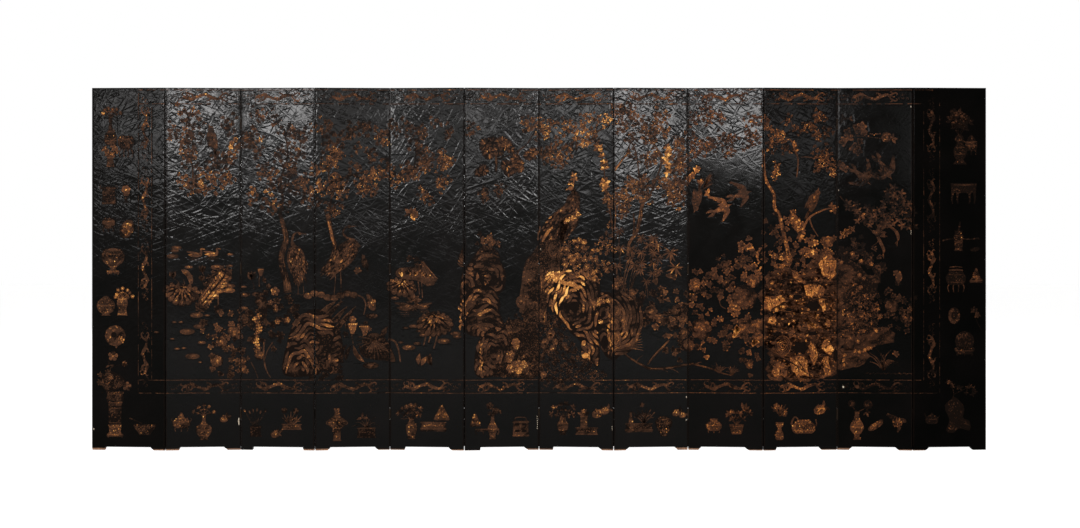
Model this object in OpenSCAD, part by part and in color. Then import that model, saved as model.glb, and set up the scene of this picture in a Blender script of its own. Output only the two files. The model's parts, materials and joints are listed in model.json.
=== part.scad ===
// Folding lacquer screen of twelve leaves, standing in a shallow zigzag.
// X runs along the screen, the decorated front faces -Y, and the feet stand on z = 0.
// Each leaf is a board core under a coat of black lacquer. Loose-pin hinges join the leaves,
// set in turn at the back and the front arris, so that the screen folds up like a concertina.

/* [Leaves] */
// Number of leaves
leaf_count = 12; // [2:2:12]
// Height of a leaf, from the floor to its top edge
leaf_height = 2140; // [1800:10:2600]
// Width of a leaf over its lacquer
leaf_width = 438; // [400:1:520]
// Thickness of a leaf over its lacquer
leaf_thickness = 22; // [20:0.5:28]
// Thickness of the lacquer and of the ground under it
coat = 1.5; // [1.2:0.1:2]
// Easing of the arrises of the lacquer
arris = 0.6; // [0.2:0.1:1]

/* [Core] */
// Boards side by side in one core
board_count = 3; // [2:1:5]
// Width of a cross batten where it is widest, at the bottom of its groove
batten_width = 56; // [40:1:80]
// Depth of a cross batten's groove in the back of the boards
batten_depth = 8; // [5:0.5:10]
// How far each side of a batten's dovetail leans in
batten_lean = 4; // [2:0.5:6]
// Glue line around each board and batten
glue = 0.1; // [0.05:0.05:0.2]

/* [Feet] */
// Height of the cut-away between the two feet of a leaf
foot_height = 19; // [12:1:40]

/* [Stance] */
// Turn of each leaf out of the line of the screen
stance = 3; // [2:0.5:20]

/* [Hinges] */
// Length of a hinge
hinge_length = 60; // [50:5:80]
// Gap between the edges of two leaves when the screen is straight
edge_gap = 2; // [1.6:0.1:4]
// Gap between the faces of two leaves when they are folded together
folded_gap = 3; // [2.4:0.1:4]
// Outer radius of a knuckle
knuckle_radius = 3; // [2.6:0.1:3.4]
// Knuckles in one hinge
knuckle_count = 5; // [3:2:7]
// Radius of a hinge pin
pin_radius = 1.5; // [1.2:0.1:1.8]
// How far a hinge plate reaches in from the face of its leaf
plate_reach = 15.5; // [12:0.5:17]
// Thickness of a hinge plate
plate_thickness = 1.3; // [0.9:0.1:1.5]

/* [Hidden] */
$fn = 48;
clearance = 0.1;          // between neighbouring knuckles, at each end
bore_play = 0.05;         // radial, between a pin and its knuckles
knuckle_room = 0.4;       // radial, between a knuckle and the lacquer beside it
pocket_play = 0.2;        // between a plate and the edge of its pocket
pin_head_radius = 2.7;
pin_head_height = 2.4;
pin_tail = 3.5;           // how far a pin stands out under its hinge
nail_radius = 0.9;
nail_head_radius = 2;
nail_head_height = 0.7;
nail_length = 15;
nail_tip = 3;
nail_depth = 9;           // from the face of the leaf to the nails
nail_spread = 20;         // between neighbouring nails of a plate
cut = 1;                  // how far a cutting shape runs past what it cuts

core_thickness = leaf_thickness - 2 * coat;
core_width = leaf_width - 2 * coat;
board_width = (core_width - (board_count - 1) * glue) / board_count;
batten_heights = [0.2, 0.4, 0.6, 0.8] * leaf_height;
hinge_heights = [0.1, 0.5, 0.9] * leaf_height;
knuckle_pitch = hinge_length / knuckle_count;

// A hinge axis lies half a gap outside the edge and half a gap outside the face.
axis_x = leaf_width / 2 + edge_gap / 2;
axis_y = leaf_thickness / 2 + folded_gap / 2;
leaf_pitch = 2 * (axis_x * cos(stance) + axis_y * sin(stance));

// The feet were cut by hand. For each leaf, its left and its right foot:
// [width at the sole, run of the sloping inner end, height worn to bare wood]
FEET = [
    [[78, 3, 12], [70, 16, 8]],
    [[78, 6, 9], [78, 20, 9]],
    [[70, 1, 2], [66, 2, 9]],
    [[76, 15, 10], [70, 18, 5]],
    [[86, 5, 6], [72, 20, 6]],
    [[92, 2, 2], [66, 22, 8]],
    [[82, 3, 7], [68, 20, 9]],
    [[70, 18, 8], [62, 18, 14]],
    [[62, 14, 10], [84, 22, 6]],
    [[72, 7, 5], [92, 18, 5]],
    [[70, 16, 11], [80, 20, 6]],
    [[76, 20, 4], [80, 18, 1]],
];

function two_digits(k) = k < 10 ? str("0", k) : str(k);
function node_name(k, what) = str("leaf_", two_digits(k), "_", what);
LEAF_NODES = ["core", "lacquer", "hinge_plates", "hinge_nails"];

// Joint j lies between leaf j and leaf j + 1, at the back for odd j and at the front for even j.
function joint_face(j) = j % 2 == 1 ? 1 : -1;
function leaf_turn(k) = k % 2 == 1 ? -stance : stance;
// The sides of leaf k that carry hinges: -1 is its left edge, 1 its right edge.
function hinged_sides(k) = concat(k > 1 ? [-1] : [], k < leaf_count ? [1] : []);
function joint_of(k, side) = side > 0 ? k : k - 1;
// The leaf on the left of a joint has knuckles 0, 2, 4 and the other one 1, 3.
function knuckles_of(side) = [for (i = [0:knuckle_count - 1]) if ((i % 2 == 0) == (side > 0)) i];

// Where the sloping inner end of a foot stands at height z, from the middle of the leaf,
// once the outline is drawn in by inset.
function foot_end(foot, inset, z) =
    let (slope = foot[1] / foot_height)
    leaf_width / 2 - foot[0] - slope * z + inset * sqrt(1 + slope * slope);

// Outline of a leaf from the front, drawn in by inset, with its soles at height sole.
function leaf_outline(k, inset, sole) =
    let (
        feet = FEET[k - 1],
        half = leaf_width / 2 - inset,
        top = leaf_height - inset,
        soffit = foot_height + inset
    ) [
        [-half, sole],
        [-foot_end(feet[0], inset, sole), sole],
        [-foot_end(feet[0], inset, soffit), soffit],
        [foot_end(feet[1], inset, soffit), soffit],
        [foot_end(feet[1], inset, sole), sole],
        [half, sole],
        [half, top],
        [-half, top],
    ];

module flip(across, on) {
    if (on) mirror(across) children();
    else children();
}

module upright(thickness) {
    rotate([90, 0, 0]) linear_extrude(thickness, center = true) children();
}

// Puts a leaf, drawn about its own middle, where it stands in the screen.
module place_leaf(k) {
    translate([(k - (leaf_count + 1) / 2) * leaf_pitch, 0, 0])
        rotate([0, 0, leaf_turn(k)]) children();
}

// Draws its children at each hinge on one edge of leaf k. In there the edge of the leaf is
// x = 0 and its face y = 0, with the open air at x > 0 and y > 0, and z = 0 is mid hinge.
module at_hinges(k, side) {
    face = joint_face(joint_of(k, side));
    for (z = hinge_heights)
        translate([side * leaf_width / 2, face * leaf_thickness / 2, z])
            flip([1, 0, 0], side < 0) flip([0, 1, 0], face < 0) children();
}

module on_axis(z = 0) {
    translate([edge_gap / 2, folded_gap / 2, z]) children();
}

module at_nails() {
    for (z = [-1:1]) translate([0, -nail_depth, z * nail_spread]) rotate([0, -90, 0]) children();
}

// A nail points along +z from the back of its head.
module nail(play = 0) {
    cylinder(h = nail_head_height + play, r = nail_head_radius + play);
    cylinder(h = nail_length - nail_tip, r = nail_radius + play);
    translate([0, 0, nail_length - nail_tip])
        cylinder(h = nail_tip, r1 = nail_radius + play, r2 = nail_radius / 4);
}

module place_nails(play = 0) {
    at_nails() translate([0, 0, coat - plate_thickness]) nail(play);
}

// Dovetail of a cross batten, centred on z = 0, with its wide side in the boards.
module batten(width, depth) {
    rotate([90, 0, 90]) linear_extrude(core_width, center = true) polygon([
        [core_thickness / 2 - depth, -width / 2],
        [core_thickness / 2 - depth, width / 2],
        [core_thickness / 2, width / 2 - batten_lean],
        [core_thickness / 2, -width / 2 + batten_lean],
    ]);
}

module core(k) {
    color("#6b4a30") difference() {
        upright(core_thickness) polygon(leaf_outline(k, coat, 0));
        for (i = [1:board_count - 1])
            translate([-core_width / 2 + i * (board_width + glue) - glue / 2, 0, leaf_height / 2])
                cube([glue, leaf_thickness, leaf_height + 2 * cut], center = true);
        for (z = batten_heights) translate([0, 0, z]) batten(batten_width + 2 * glue, batten_depth + glue);
        for (side = hinged_sides(k)) at_hinges(k, side) place_nails(bore_play);
    }
    color("#7a5738") for (z = batten_heights) translate([0, 0, z]) batten(batten_width, batten_depth);
}

// A whole leaf, with its upright and top arrises eased.
module eased_leaf(k) {
    half_x = leaf_width / 2;
    half_y = leaf_thickness / 2;
    intersection() {
        upright(leaf_thickness) polygon(leaf_outline(k, 0, 0));
        linear_extrude(leaf_height) polygon([for (corner = [[-1, -1], [1, -1], [1, 1], [-1, 1]])
            for (c = corner.x * corner.y > 0 ? [[0, 1], [1, 0]] : [[1, 0], [0, 1]])
                [corner.x * (half_x - arris * c.x), corner.y * (half_y - arris * c.y)]]);
        rotate([90, 0, 90]) linear_extrude(leaf_width, center = true) polygon([
            [-half_y, 0],
            [half_y, 0],
            [half_y, leaf_height - arris],
            [half_y - arris, leaf_height],
            [arris - half_y, leaf_height],
            [-half_y, leaf_height - arris],
        ]);
    }
}

module lacquer(k) {
    color("#14110f") difference() {
        eased_leaf(k);
        upright(core_thickness) polygon(leaf_outline(k, coat, -cut));
        for (side = [-1, 1]) worn_sole(k, side);
        for (side = hinged_sides(k)) at_hinges(k, side) hinge_pocket();
    }
}

// Takes the lacquer off the bottom of one foot, where wear has bared the wood.
module worn_sole(k, side) {
    foot = FEET[k - 1][side < 0 ? 0 : 1];
    reach = foot[0] + foot[1] + cut;
    translate([side * (leaf_width / 2 + cut - reach / 2), 0, foot[2] / 2 - cut / 2])
        cube([reach, leaf_thickness + 2 * cut, foot[2] + cut], center = true);
}

// Room in the lacquer for a hinge plate, its knuckles and the ends of its pin.
module hinge_pocket() {
    translate([-coat, -plate_reach - pocket_play, -hinge_length / 2 - pocket_play])
        cube([coat + cut, plate_reach + pocket_play + cut, hinge_length + 2 * pocket_play]);
    on_axis(-hinge_length / 2 - pin_tail - cut)
        cylinder(h = hinge_length + pin_tail + pin_head_height + 2 * cut, r = knuckle_radius + knuckle_room);
}

module knuckle(i, radius, grow) {
    on_axis(i * knuckle_pitch - hinge_length / 2 - grow)
        cylinder(h = knuckle_pitch + 2 * grow, r = radius);
}

// One half of a hinge: a plate let into the edge of the leaf, with its knuckles.
module hinge_half(side) {
    difference() {
        union() {
            translate([-coat, -plate_reach, clearance - hinge_length / 2])
                cube([plate_thickness, plate_reach + folded_gap / 2, hinge_length - 2 * clearance]);
            for (i = knuckles_of(side)) knuckle(i, knuckle_radius, -clearance);
        }
        for (i = knuckles_of(-side)) knuckle(i, knuckle_radius + knuckle_room, clearance);
        on_axis(-hinge_length / 2 - cut) cylinder(h = hinge_length + 2 * cut, r = pin_radius + bore_play);
        place_nails(bore_play);
    }
}

module hinge_plates(k) {
    color("#4a3a22") for (side = hinged_sides(k)) at_hinges(k, side) hinge_half(side);
}

module hinge_nails(k) {
    color("#5a4a30") for (side = hinged_sides(k)) at_hinges(k, side) place_nails();
}

// A loose pin, held by its domed head and drawn out upwards to part two leaves.
module hinge_pin() {
    bottom = -hinge_length / 2;
    top = hinge_length / 2 - clearance;
    dome = [for (a = [0:22.5:90]) [pin_head_radius * cos(a), top + pin_head_height * (0.4 + 0.6 * sin(a))]];
    rotate_extrude() polygon(concat(
        [[0, bottom - pin_tail], [pin_radius / 2, bottom - pin_tail], [pin_radius, bottom], [pin_radius, top]],
        [[pin_head_radius, top]],
        dome
    ));
}

module hinge_pins(k) {
    color("#6a5230") at_hinges(k, 1) on_axis() hinge_pin();
}

for (k = [1:leaf_count]) {
    place_leaf(k) core(k);
    place_leaf(k) lacquer(k);
    place_leaf(k) hinge_plates(k);
    place_leaf(k) hinge_nails(k);
    if (k < leaf_count)
        place_leaf(k) hinge_pins(k);
}
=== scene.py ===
"""Dresses a folding screen of twelve black lacquer leaves: the crumpled lacquer of both faces, the
brown and gold pictures on the front, worn feet, tarnished hinges, and the studio around them.

The pictures are drawn in millimetres on the straightened screen, as complex numbers: the real part
runs along the screen from its left edge, the imaginary part is the height above the floor."""
import json
import math
import bpy
import numpy as np
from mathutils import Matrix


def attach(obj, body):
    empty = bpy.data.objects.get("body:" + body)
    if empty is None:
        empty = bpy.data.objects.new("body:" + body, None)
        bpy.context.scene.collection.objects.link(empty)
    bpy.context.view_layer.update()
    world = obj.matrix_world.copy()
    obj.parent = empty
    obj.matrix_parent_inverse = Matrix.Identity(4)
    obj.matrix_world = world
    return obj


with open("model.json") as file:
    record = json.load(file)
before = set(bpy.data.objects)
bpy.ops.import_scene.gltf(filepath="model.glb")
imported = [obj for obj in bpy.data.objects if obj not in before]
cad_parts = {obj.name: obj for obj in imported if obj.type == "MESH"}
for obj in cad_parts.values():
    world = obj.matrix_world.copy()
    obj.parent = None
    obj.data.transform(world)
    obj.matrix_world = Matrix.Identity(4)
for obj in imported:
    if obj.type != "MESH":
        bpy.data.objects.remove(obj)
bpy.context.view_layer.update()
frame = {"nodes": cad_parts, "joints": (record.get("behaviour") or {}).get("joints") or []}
rng = np.random.default_rng(12)
between = rng.uniform

# ---------------------------------------------------------------- sizes, in millimetres
MM = 0.001
LEAVES = 12
LEAF_WIDTH = 438
LEAF_HEIGHT = 2140
LEAF_THICKNESS = 22
LEAF_STEP = 440                 # from leaf to leaf along the straightened screen
FOOT_HEIGHT = 19

GROUND_MARGIN = 2               # from the arris of a leaf to its crumpled ground
GROUND_HALF = LEAF_WIDTH / 2 - GROUND_MARGIN
GROUND_LEVEL = 0.25             # mean height of the ground over the plain lacquer
GROUND_RANGE = (0.02, 1.3)      # lowest and highest ground
GROUND_RIM = 9                  # width over which the ground dies out to the arris
CRUMPLE = 1.0                   # height of the tallest creases
CREASED_FROM = 1000             # below this height the ground is calm
FOIL_FROM = 1600                # above this height the creases are those of foil
CALM_FROM = 3500                # to the right of this place the ground grows calm
STILL_CORNER = (3480, 1850)     # to the right of and below this point it is nearly smooth
PAINTED_SMOOTH = 0.8            # share of the creases that paint fills
FRONT_GRID = 3.1                # mesh of the crumpled ground
COARSER_GRID = {10: 1.25, 11: 1.6, 12: 2.0}     # wider mesh where a leaf is dark and calm
BACK_GRID = 9
BACK_PATTERN = 9000             # how far along the pattern of creases the back is taken

PAINT_LEVEL = 0.34              # lowest paint over the plain lacquer
PAINT_ROOT = -0.3               # how deep the paint is keyed into the lacquer
PAINT_STEP = 1e-5               # one coat of paint over the next, so that none share a plane
PAINT_STEPS = 997
NARROWEST_PAINT = 0.5
SMALLEST_PAINT = 2              # square millimetres
LARGEST_PIECE = 190000          # triangles of paint in one piece
CHIP = 9                        # marks a spot of bare ground among the paint

# how much darker the paint of each leaf is made, and that of the lowest part of every leaf
GILT_DARKENED = {1: 0.14, 2: 0.03, 3: 0.07, 4: 0.1, 5: 0.06, 6: 0.05, 7: 0.02, 11: 0.08, 12: 0.28}
FOOT_DARKENED = 0.05
FOOT_ZONE = 430                 # height of that lowest part
FIRST_WARM_LEAF = 9             # from here on the gold is yellower
GOLD_WARMTH = 1.14

BEAD_RADIUS = 1.45
THIN_BEAD = 1.0                 # where light shows through the top of a joint
THIN_AT_TOP = (3, 4, 5)
HINGE_HEIGHTS = (214, 1070, 1926)
HINGE_REACH = 34                # from the middle of a hinge to the end of its pin, with room

# ---------------------------------------------------------------- looks and studio, in metres
LACQUER_SHINE = 0.074
VARNISH_TINT = (1.0, 0.985, 0.985, 1)
CAMERA_DISTANCE = 7.5
CAMERA_HEIGHT = 1.5
VIEW_WIDTH = 6.386              # width of the picture at the screen
VIEW_MIDDLE = (0.006, 1.099)
SENSOR = 36                     # millimetres
FLOOR_REACH = 14
FLOOR_GLOW = 0.83               # makes the floor as white as the background
LAMPS = (                       # name, place, target, width, height, power
    ("left_softbox", (-3.5, -7.4, 2.6), (-1.8, 0, 1.8), 1.4, 0.8, 204),
    ("right_softbox", (2.03, -7.4, 2.42), (1.0, 0, 1.8), 0.95, 0.95, 150),
    ("right_inner_softbox", (1.27, -7.4, 2.6), (0.7, 0, 1.8), 0.62, 0.75, 84),
    ("middle_softbox", (-0.35, -7.5, 2.45), (-0.3, 0, 1.8), 0.76, 1.1, 50),
    ("left_strip", (-3.9, -7.3, 3.35), (-1.8, 0, 1.9), 4.4, 0.34, 54),
    ("right_strip", (1.3, -7.3, 3.35), (0.9, 0, 1.9), 3.2, 0.34, 34),
    ("far_left_panel", (-5.5, -7.4, 2.3), (-2.6, 0, 1.8), 1.0, 1.1, 60),
    ("inner_left_panel", (-1.76, -7.45, 2.2), (-0.9, 0, 1.8), 1.6, 1.3, 14),
    ("far_right_panel", (3.9, -7.4, 2.2), (1.9, 0, 1.8), 0.8, 1.2, 22),
    ("back_left_panel", (-2.6, 7.4, 1.66), (-1.1, 0, 1.4), 2.2, 0.9, 130),
    ("back_right_panel", (2.2, 7.4, 1.66), (1.0, 0, 1.4), 1.6, 0.9, 110),
    ("broad_panel", (-2.3, -7.7, 2.5), (-0.5, 0, 1.6), 8.0, 1.2, 56),
)

joints = frame["joints"]
STANCE = math.radians(-joints[0]["range_deg"][0] / 2)
LEAF_PITCH = (joints[-1]["pos_m"][0] - joints[0]["pos_m"][0]) / (len(joints) - 1)


def leaf_middle(number):
    """Place of a leaf's middle along the straightened screen."""
    return (number - 0.5) * LEAF_STEP


def leaf_matrix(number):
    """Turn and place of a leaf, from its own middle to the frame, in metres."""
    turn = -STANCE if number % 2 else STANCE
    rotation = np.array([[math.cos(turn), -math.sin(turn)], [math.sin(turn), math.cos(turn)]])
    return rotation, np.array([(number - (LEAVES + 1) / 2) * LEAF_PITCH, 0.0])


def on_leaf(number, across, out, up, front=True):
    """World points for millimetres across a leaf, out of its front or back face, and up."""
    rotation, middle = leaf_matrix(number)
    depth = LEAF_THICKNESS / 2 + np.asarray(out, float)
    local = np.stack([np.asarray(across, float), -depth if front else depth]) * MM
    flat = rotation @ local.reshape(2, -1) + middle[:, None]
    return np.stack([flat[0], flat[1], np.asarray(up, float).ravel() * MM], axis=1)


# ---------------------------------------------------------------- noise
def scramble(column, row, seed):
    """A fixed random whole number for each cell of a grid."""
    h = (column * 374761393 + row * 668265263 + seed * 974634777) & 0xFFFFFFFF
    h = ((h ^ (h >> 13)) * 1274126177) & 0xFFFFFFFF
    return h ^ (h >> 16)


def noise(x, y, seed):
    """Smooth gradient noise, roughly -1 to 1, with one cell to a unit."""
    x0, y0 = np.floor(x).astype(np.int64), np.floor(y).astype(np.int64)
    fx, fy = x - x0, y - y0

    def corner(i, j):
        angle = (scramble(x0 + i, y0 + j, seed) & 0xFFFF) * (2 * math.pi / 65536)
        return np.cos(angle) * (fx - i) + np.sin(angle) * (fy - j)

    sx, sy = fx * fx * (3 - 2 * fx), fy * fy * (3 - 2 * fy)
    low = corner(0, 0) * (1 - sx) + corner(1, 0) * sx
    high = corner(0, 1) * (1 - sx) + corner(1, 1) * sx
    return (low * (1 - sy) + high * sy) * 1.5


def creases(x, y, lean, length, width, seed):
    """Long creases about a width apart, along a lean in degrees, that fade in and out: 0 to 1."""
    cosine, sine = math.cos(math.radians(lean)), math.sin(math.radians(lean))
    along, across = (x * cosine + y * sine) / length, (y * cosine - x * sine) / width
    fade = np.clip(0.4 + 1.9 * noise(1.7 * along + 7, 0.6 * across + 3, seed + 1), 0, 1)
    return np.clip(1 - 2.5 * np.abs(noise(along, across, seed)), 0, 1) * fade


def crumple(x, y):
    """Height of the crumpled ground, 0 to 1, from its place on the straightened screen: one set of
    creases below, a finer foil at the top, and both calmer to the right and towards the foot."""
    high = np.clip((y - FOIL_FROM) / 180 + 0.6 * noise(x / 140, y / 90, 75), 0, 1)
    # lean, length, width, seed and share of each set of creases
    low_sets = ((21, 300, 28, 5, 1.0), (-19, 310, 28, 15, 1.0), (43, 220, 48, 25, 0.8),
                (-38, 230, 56, 35, 0.7))
    high_sets = ((57, 210, 34, 45, 1.0), (-43, 220, 36, 55, 0.9), (14, 260, 32, 65, 0.8),
                 (84, 200, 52, 75, 0.7))
    level, foil = (np.max([share * creases(x, y, lean, length, width, seed)
                           for lean, length, width, seed, share in sets], 0)
                   for sets in (low_sets, high_sets))
    strength = np.clip(0.85 + 0.8 * noise(x / 260, y / 210, 85), 0.3, 1.2)
    strength *= 1.0 - 0.85 * np.clip((x - CALM_FROM) / 900, 0, 1)
    strength *= 0.25 + 0.75 * np.clip((y - CREASED_FROM) / 350, 0, 1)
    left, top = STILL_CORNER
    strength *= 1 - 0.85 * np.clip((x - left) / 60, 0, 1) * np.clip((top - y) / 90, 0, 1)
    return strength * (0.85 * level * (1 - high) + 0.6 * foil * high) + 0.2 * noise(x / 150, y / 110, 95)


# ---------------------------------------------------------------- outlines
def ray(turn):
    """A unit step along a direction in degrees."""
    return np.exp(1j * math.radians(turn))


def heading(step):
    """The direction of a step, in degrees."""
    return math.degrees(np.angle(step))


def arc(first, last, count):
    """Points of a unit circle from one angle to another, in degrees."""
    return np.exp(1j * np.radians(np.linspace(first, last, count)))


def spline(points, steps=6, closed=False):
    """A smooth line through points."""
    p = np.asarray(points, complex)
    if closed:
        p = np.concatenate([p[-1:], p, p[:2]])
    else:
        p = np.concatenate([[2 * p[0] - p[1]], p, [2 * p[-1] - p[-2]]])
    t = np.linspace(0, 1, steps, endpoint=False)[:, None]
    a, b, c, d = p[:-3], p[1:-2], p[2:-1], p[3:]
    line = 0.5 * (2 * b + (c - a) * t + (2 * a - 5 * b + 4 * c - d) * t**2 + (3 * b - a - 3 * c + d) * t**3)
    line = line.T.ravel()
    return line if closed else np.append(line, p[-2])


def bent(start, end, aside):
    """Three points from one place to another, the middle one moved aside."""
    return [start, start * 0.5 + end * 0.5 + aside, end]


def ribbon(line, widths):
    """Outline of a band along a line, with a width at each point or from its start to its end."""
    line = np.asarray(line, complex)
    widths = np.interp(np.linspace(0, 1, len(line)), np.linspace(0, 1, len(widths)), widths)
    way = np.gradient(line)
    side = 1j * way / np.maximum(np.abs(way), 1e-6) * widths / 2
    return np.concatenate([line + side, (line - side)[::-1]])


def blade(width=0.4, bend=0.0, count=5):
    """A leaf or petal of unit length, pointed at both ends."""
    t = np.linspace(0, 1, count + 2)
    spine = t + 1j * bend * np.sin(math.pi * t)
    half = 0.5j * width * np.sin(math.pi * t**0.9)
    return np.concatenate([spine + half, (spine - half)[-2:0:-1]])


def fan(width=0.7, count=6, notch=0.0):
    """A petal of unit length that widens from its base to a round tip."""
    tip = 0.62 + 0.38 * arc(-80, 80, count).real + 0.5j * width * arc(-80, 80, count).imag
    tip = tip * (1 - notch * (np.arange(count) % 2))
    return np.concatenate([[0.0], tip])


def lobed(lobes, depth, count=4, spread=300):
    """A leaf of unit radius with round lobes, stalk at the origin side."""
    turn = np.linspace(-spread / 2, spread / 2, lobes * count + 1)
    wave = np.abs(np.sin(np.radians((turn + spread / 2) * 180 / (spread / lobes))))
    return np.append(0.35 + (1 - depth + depth * wave) * 0.65 * np.exp(1j * np.radians(turn)), [0.0])


# circles of twelve and of eight points
OVAL = arc(0, 330, 12)
ROUND = arc(0, 315, 8)


def put(outline, at, size=1.0, turn=0.0):
    """An outline moved to a point, scaled and turned."""
    return at + np.asarray(outline) * size * ray(turn)


def clip(outline, low, high):
    """The part of an outline between two places along the screen."""
    for limit, keep in ((low, 1), (high, -1)):
        result = []
        for a, b in zip(outline, np.roll(outline, -1)):
            a_in, b_in = (a.real - limit) * keep >= 0, (b.real - limit) * keep >= 0
            if a_in:
                result.append(a)
            if a_in != b_in:
                result.append(a + (b - a) * (limit - a.real) / (b.real - a.real))
        outline = np.array(result, complex)
        if len(outline) < 3:
            return None
    return outline


# ---------------------------------------------------------------- paint
PAINT = []                      # outline, gilt from -1 (black) over 0 (dark brown) to 1 (gold), lift


def mirrored(at, size, turn, flip):
    """A function that puts points of a motif in place, mirrored where flip is -1."""
    def place(points):
        points = np.asarray(points, complex)
        return put(points.real + 1j * flip * points.imag, at, size, turn)

    return place


def paint(outline, gilt, lift=0.1):
    """A flat slab of paint."""
    PAINT.append((np.asarray(outline, complex), gilt, lift))


def inlay(outline, gilt, lift=0.1, rim=2.5):
    """A shape inside a black line."""
    outline = np.asarray(outline, complex)
    middle = outline.mean()
    reach = np.abs(outline - middle).mean() + 1e-6
    paint(middle + (outline - middle) * (1 + rim / reach), -1, lift)
    paint(outline, gilt, lift + 0.06)


def stroke(points, widths, gilt, lift=0.1, steps=5):
    """A brush stroke through points."""
    paint(ribbon(spline(points, steps), widths), gilt, lift)


def dab(at, size, turn, gilt, lift, *shape):
    """A pointed mark; shape is what its blade takes."""
    paint(put(blade(*shape), at, size, turn), gilt, lift)


def frond(at, size, turn, gilt, lift, rim, *shape):
    """A pointed leaf, petal or feather inside a black line."""
    inlay(put(blade(*shape), at, size, turn), gilt, lift, rim)


def vary(gilt, spread=0.16):
    """A gilding near the given one."""
    return gilt + rng.normal(0, spread)


def leaf(at, size, turn, gilt, lift=0.15, lobes=5):
    """A lobed leaf: black outline, lighter rim, black veins, and some gold left near its tips."""
    shape = lobed(lobes, 0.42, 3 if size < 30 else 4)
    way = ray(turn)
    size, own = size * 0.82, vary(gilt, 0.07)
    paint(put(shape, at - 1.5 * way, size + 3, turn), -1, lift)
    paint(put(shape, at, size, turn), own, lift + 0.05)
    paint(put(shape, at + 0.13 * size * way, size * 0.72, turn), own - 0.12, lift + 0.08)
    for k in range(lobes):
        lean = (k - (lobes - 1) / 2) * 300 / lobes
        if k:
            dab(at + 0.3 * size * way, size * 0.56, turn + lean - 150 / lobes, -1, lift + 0.1, 0.09, 0, 2)
        if rng.random() < 0.4:
            spot = at + size * way * (0.34 + between(0.36, 0.56) * ray(lean))
            dab(spot, between(6, 10), turn + lean + between(-40, 40), gilt + between(0.0, 0.35),
                lift + 0.12, 0.6, 0, 3)


def sprig(at, size, turn, gilt, count=5, spread=200, width=0.42, lift=0.15):
    """Single leaves that radiate from one point."""
    for k in range(count):
        lean = (k / max(count - 1, 1) - 0.5) * spread + rng.normal(0, 6)
        length = size * between(0.8, 1.05)
        inlay(put(blade(width, between(-0.1, 0.1)), at, length, turn + lean), vary(gilt), lift, 1.5)


def cluster(at, size, gilt, count=6, lobes=5):
    """A clump of lobed leaves about a point."""
    for k in range(count):
        turn = 360 * k / count + between(-25, 25)
        spot = at + size * between(0.25, 0.62) * ray(turn) * (1 if k else 0.3)
        bright = gilt + (0.22 if rng.random() < 0.2 else 0)
        leaf(spot, size * between(0.42, 0.6), turn + between(-40, 40), bright,
             0.12 + 0.04 * (k % 4), lobes)


def blossom(at, size, gilt, petals=5, lift=0.2):
    """A small open flower."""
    for k in range(petals):
        inlay(put(fan(0.8, 5), at, size / 2, 360 * k / petals + 11), vary(gilt, 0.1), lift, 1.2)
    paint(put(ROUND, at, size * 0.1), gilt + 0.3, lift + 0.1)


def peony(at, size, gilt, lift=0.2):
    """A full round flower: three rings of notched petals about a knot of small ones."""
    paint(put(OVAL, at, size * 0.5), -1, lift - 0.04)
    for ring, (reach, petals, width) in enumerate([(0.5, 8, 0.72), (0.36, 7, 0.8), (0.22, 5, 0.95)]):
        for k in range(petals):
            turn = 360 * (k + ring * 0.5) / petals + between(-6, 6)
            petal = put(fan(width, 7, 0.07), at, size * reach * between(0.92, 1.06), turn)
            inlay(petal, vary(gilt - 0.1 + 0.08 * ring, 0.12), lift + 0.09 * ring, 1.3)
    paint(put(ROUND, at, size * 0.06), gilt + 0.3, lift + 0.4)


def bud(at, size, turn, gilt):
    """A closed flower of three petals."""
    for lean in (-24, 24, 0):
        frond(at, size, turn + lean, vary(gilt), 0.2, 1.4, 0.55)


def bough(points, widths, gilt=0.3, size=60, spacing=70, side=45, leaves=5, density=1.0, lobes=5):
    """A branch with clumps of leaves on both sides."""
    line = spline(points, 8)
    paint(ribbon(line, [w + 3 for w in widths]), -1, 0.08)
    paint(ribbon(line, widths), gilt * 0.8, 0.12)
    run = np.concatenate([[0], np.cumsum(np.abs(np.diff(line)))])
    way = np.gradient(line)
    for k, d in enumerate(np.arange(spacing * 0.6, run[-1] + 1, spacing)):
        if rng.random() > density:
            continue
        at = np.interp(d, run, line.real) + 1j * np.interp(d, run, line.imag)
        angle = math.atan2(np.interp(d, run, way.imag), np.interp(d, run, way.real))
        offset = side * between(0.4, 1.1) * (1 if k % 2 else -1)
        cluster(at + offset * 1j * np.exp(1j * angle), size * between(0.8, 1.2), vary(gilt, 0.1),
                leaves, lobes)


def trunk(points, widths, gilt):
    """A tree trunk with bark in long wandering strips."""
    line = spline(points, 7)
    paint(ribbon(line, [w + 4 for w in widths]), -1, 0.08)
    paint(ribbon(line, widths), gilt - 0.12, 0.14)
    way = np.gradient(line)
    side = 1j * way / np.abs(way)
    wide = np.interp(np.linspace(0, 1, len(line)), np.linspace(0, 1, len(widths)), widths)
    for k in range(len(line) - 4):
        for lane in (-0.32, -0.1, 0.12, 0.34):
            if rng.random() < 0.55:
                part = slice(k, min(k + int(rng.integers(4, 8)), len(line)))
                run = line[part] + side[part] * wide[part] * (lane + between(-0.06, 0.06))
                paint(ribbon(run, [1, wide[k] * 0.13, 1]), vary(gilt + 0.08), 0.2 + 0.04 * rng.random())


def inside(points, outline):
    """Which points lie inside an outline."""
    x, y = points.real[:, None], points.imag[:, None]
    a, b = outline, np.roll(outline, -1)
    crosses = (a.imag > y) != (b.imag > y)
    height = np.where(b.imag == a.imag, 1e-9, b.imag - a.imag)
    return (crosses & (x < a.real + (b.real - a.real) * (y - a.imag) / height)).sum(1) % 2 == 1


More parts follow.
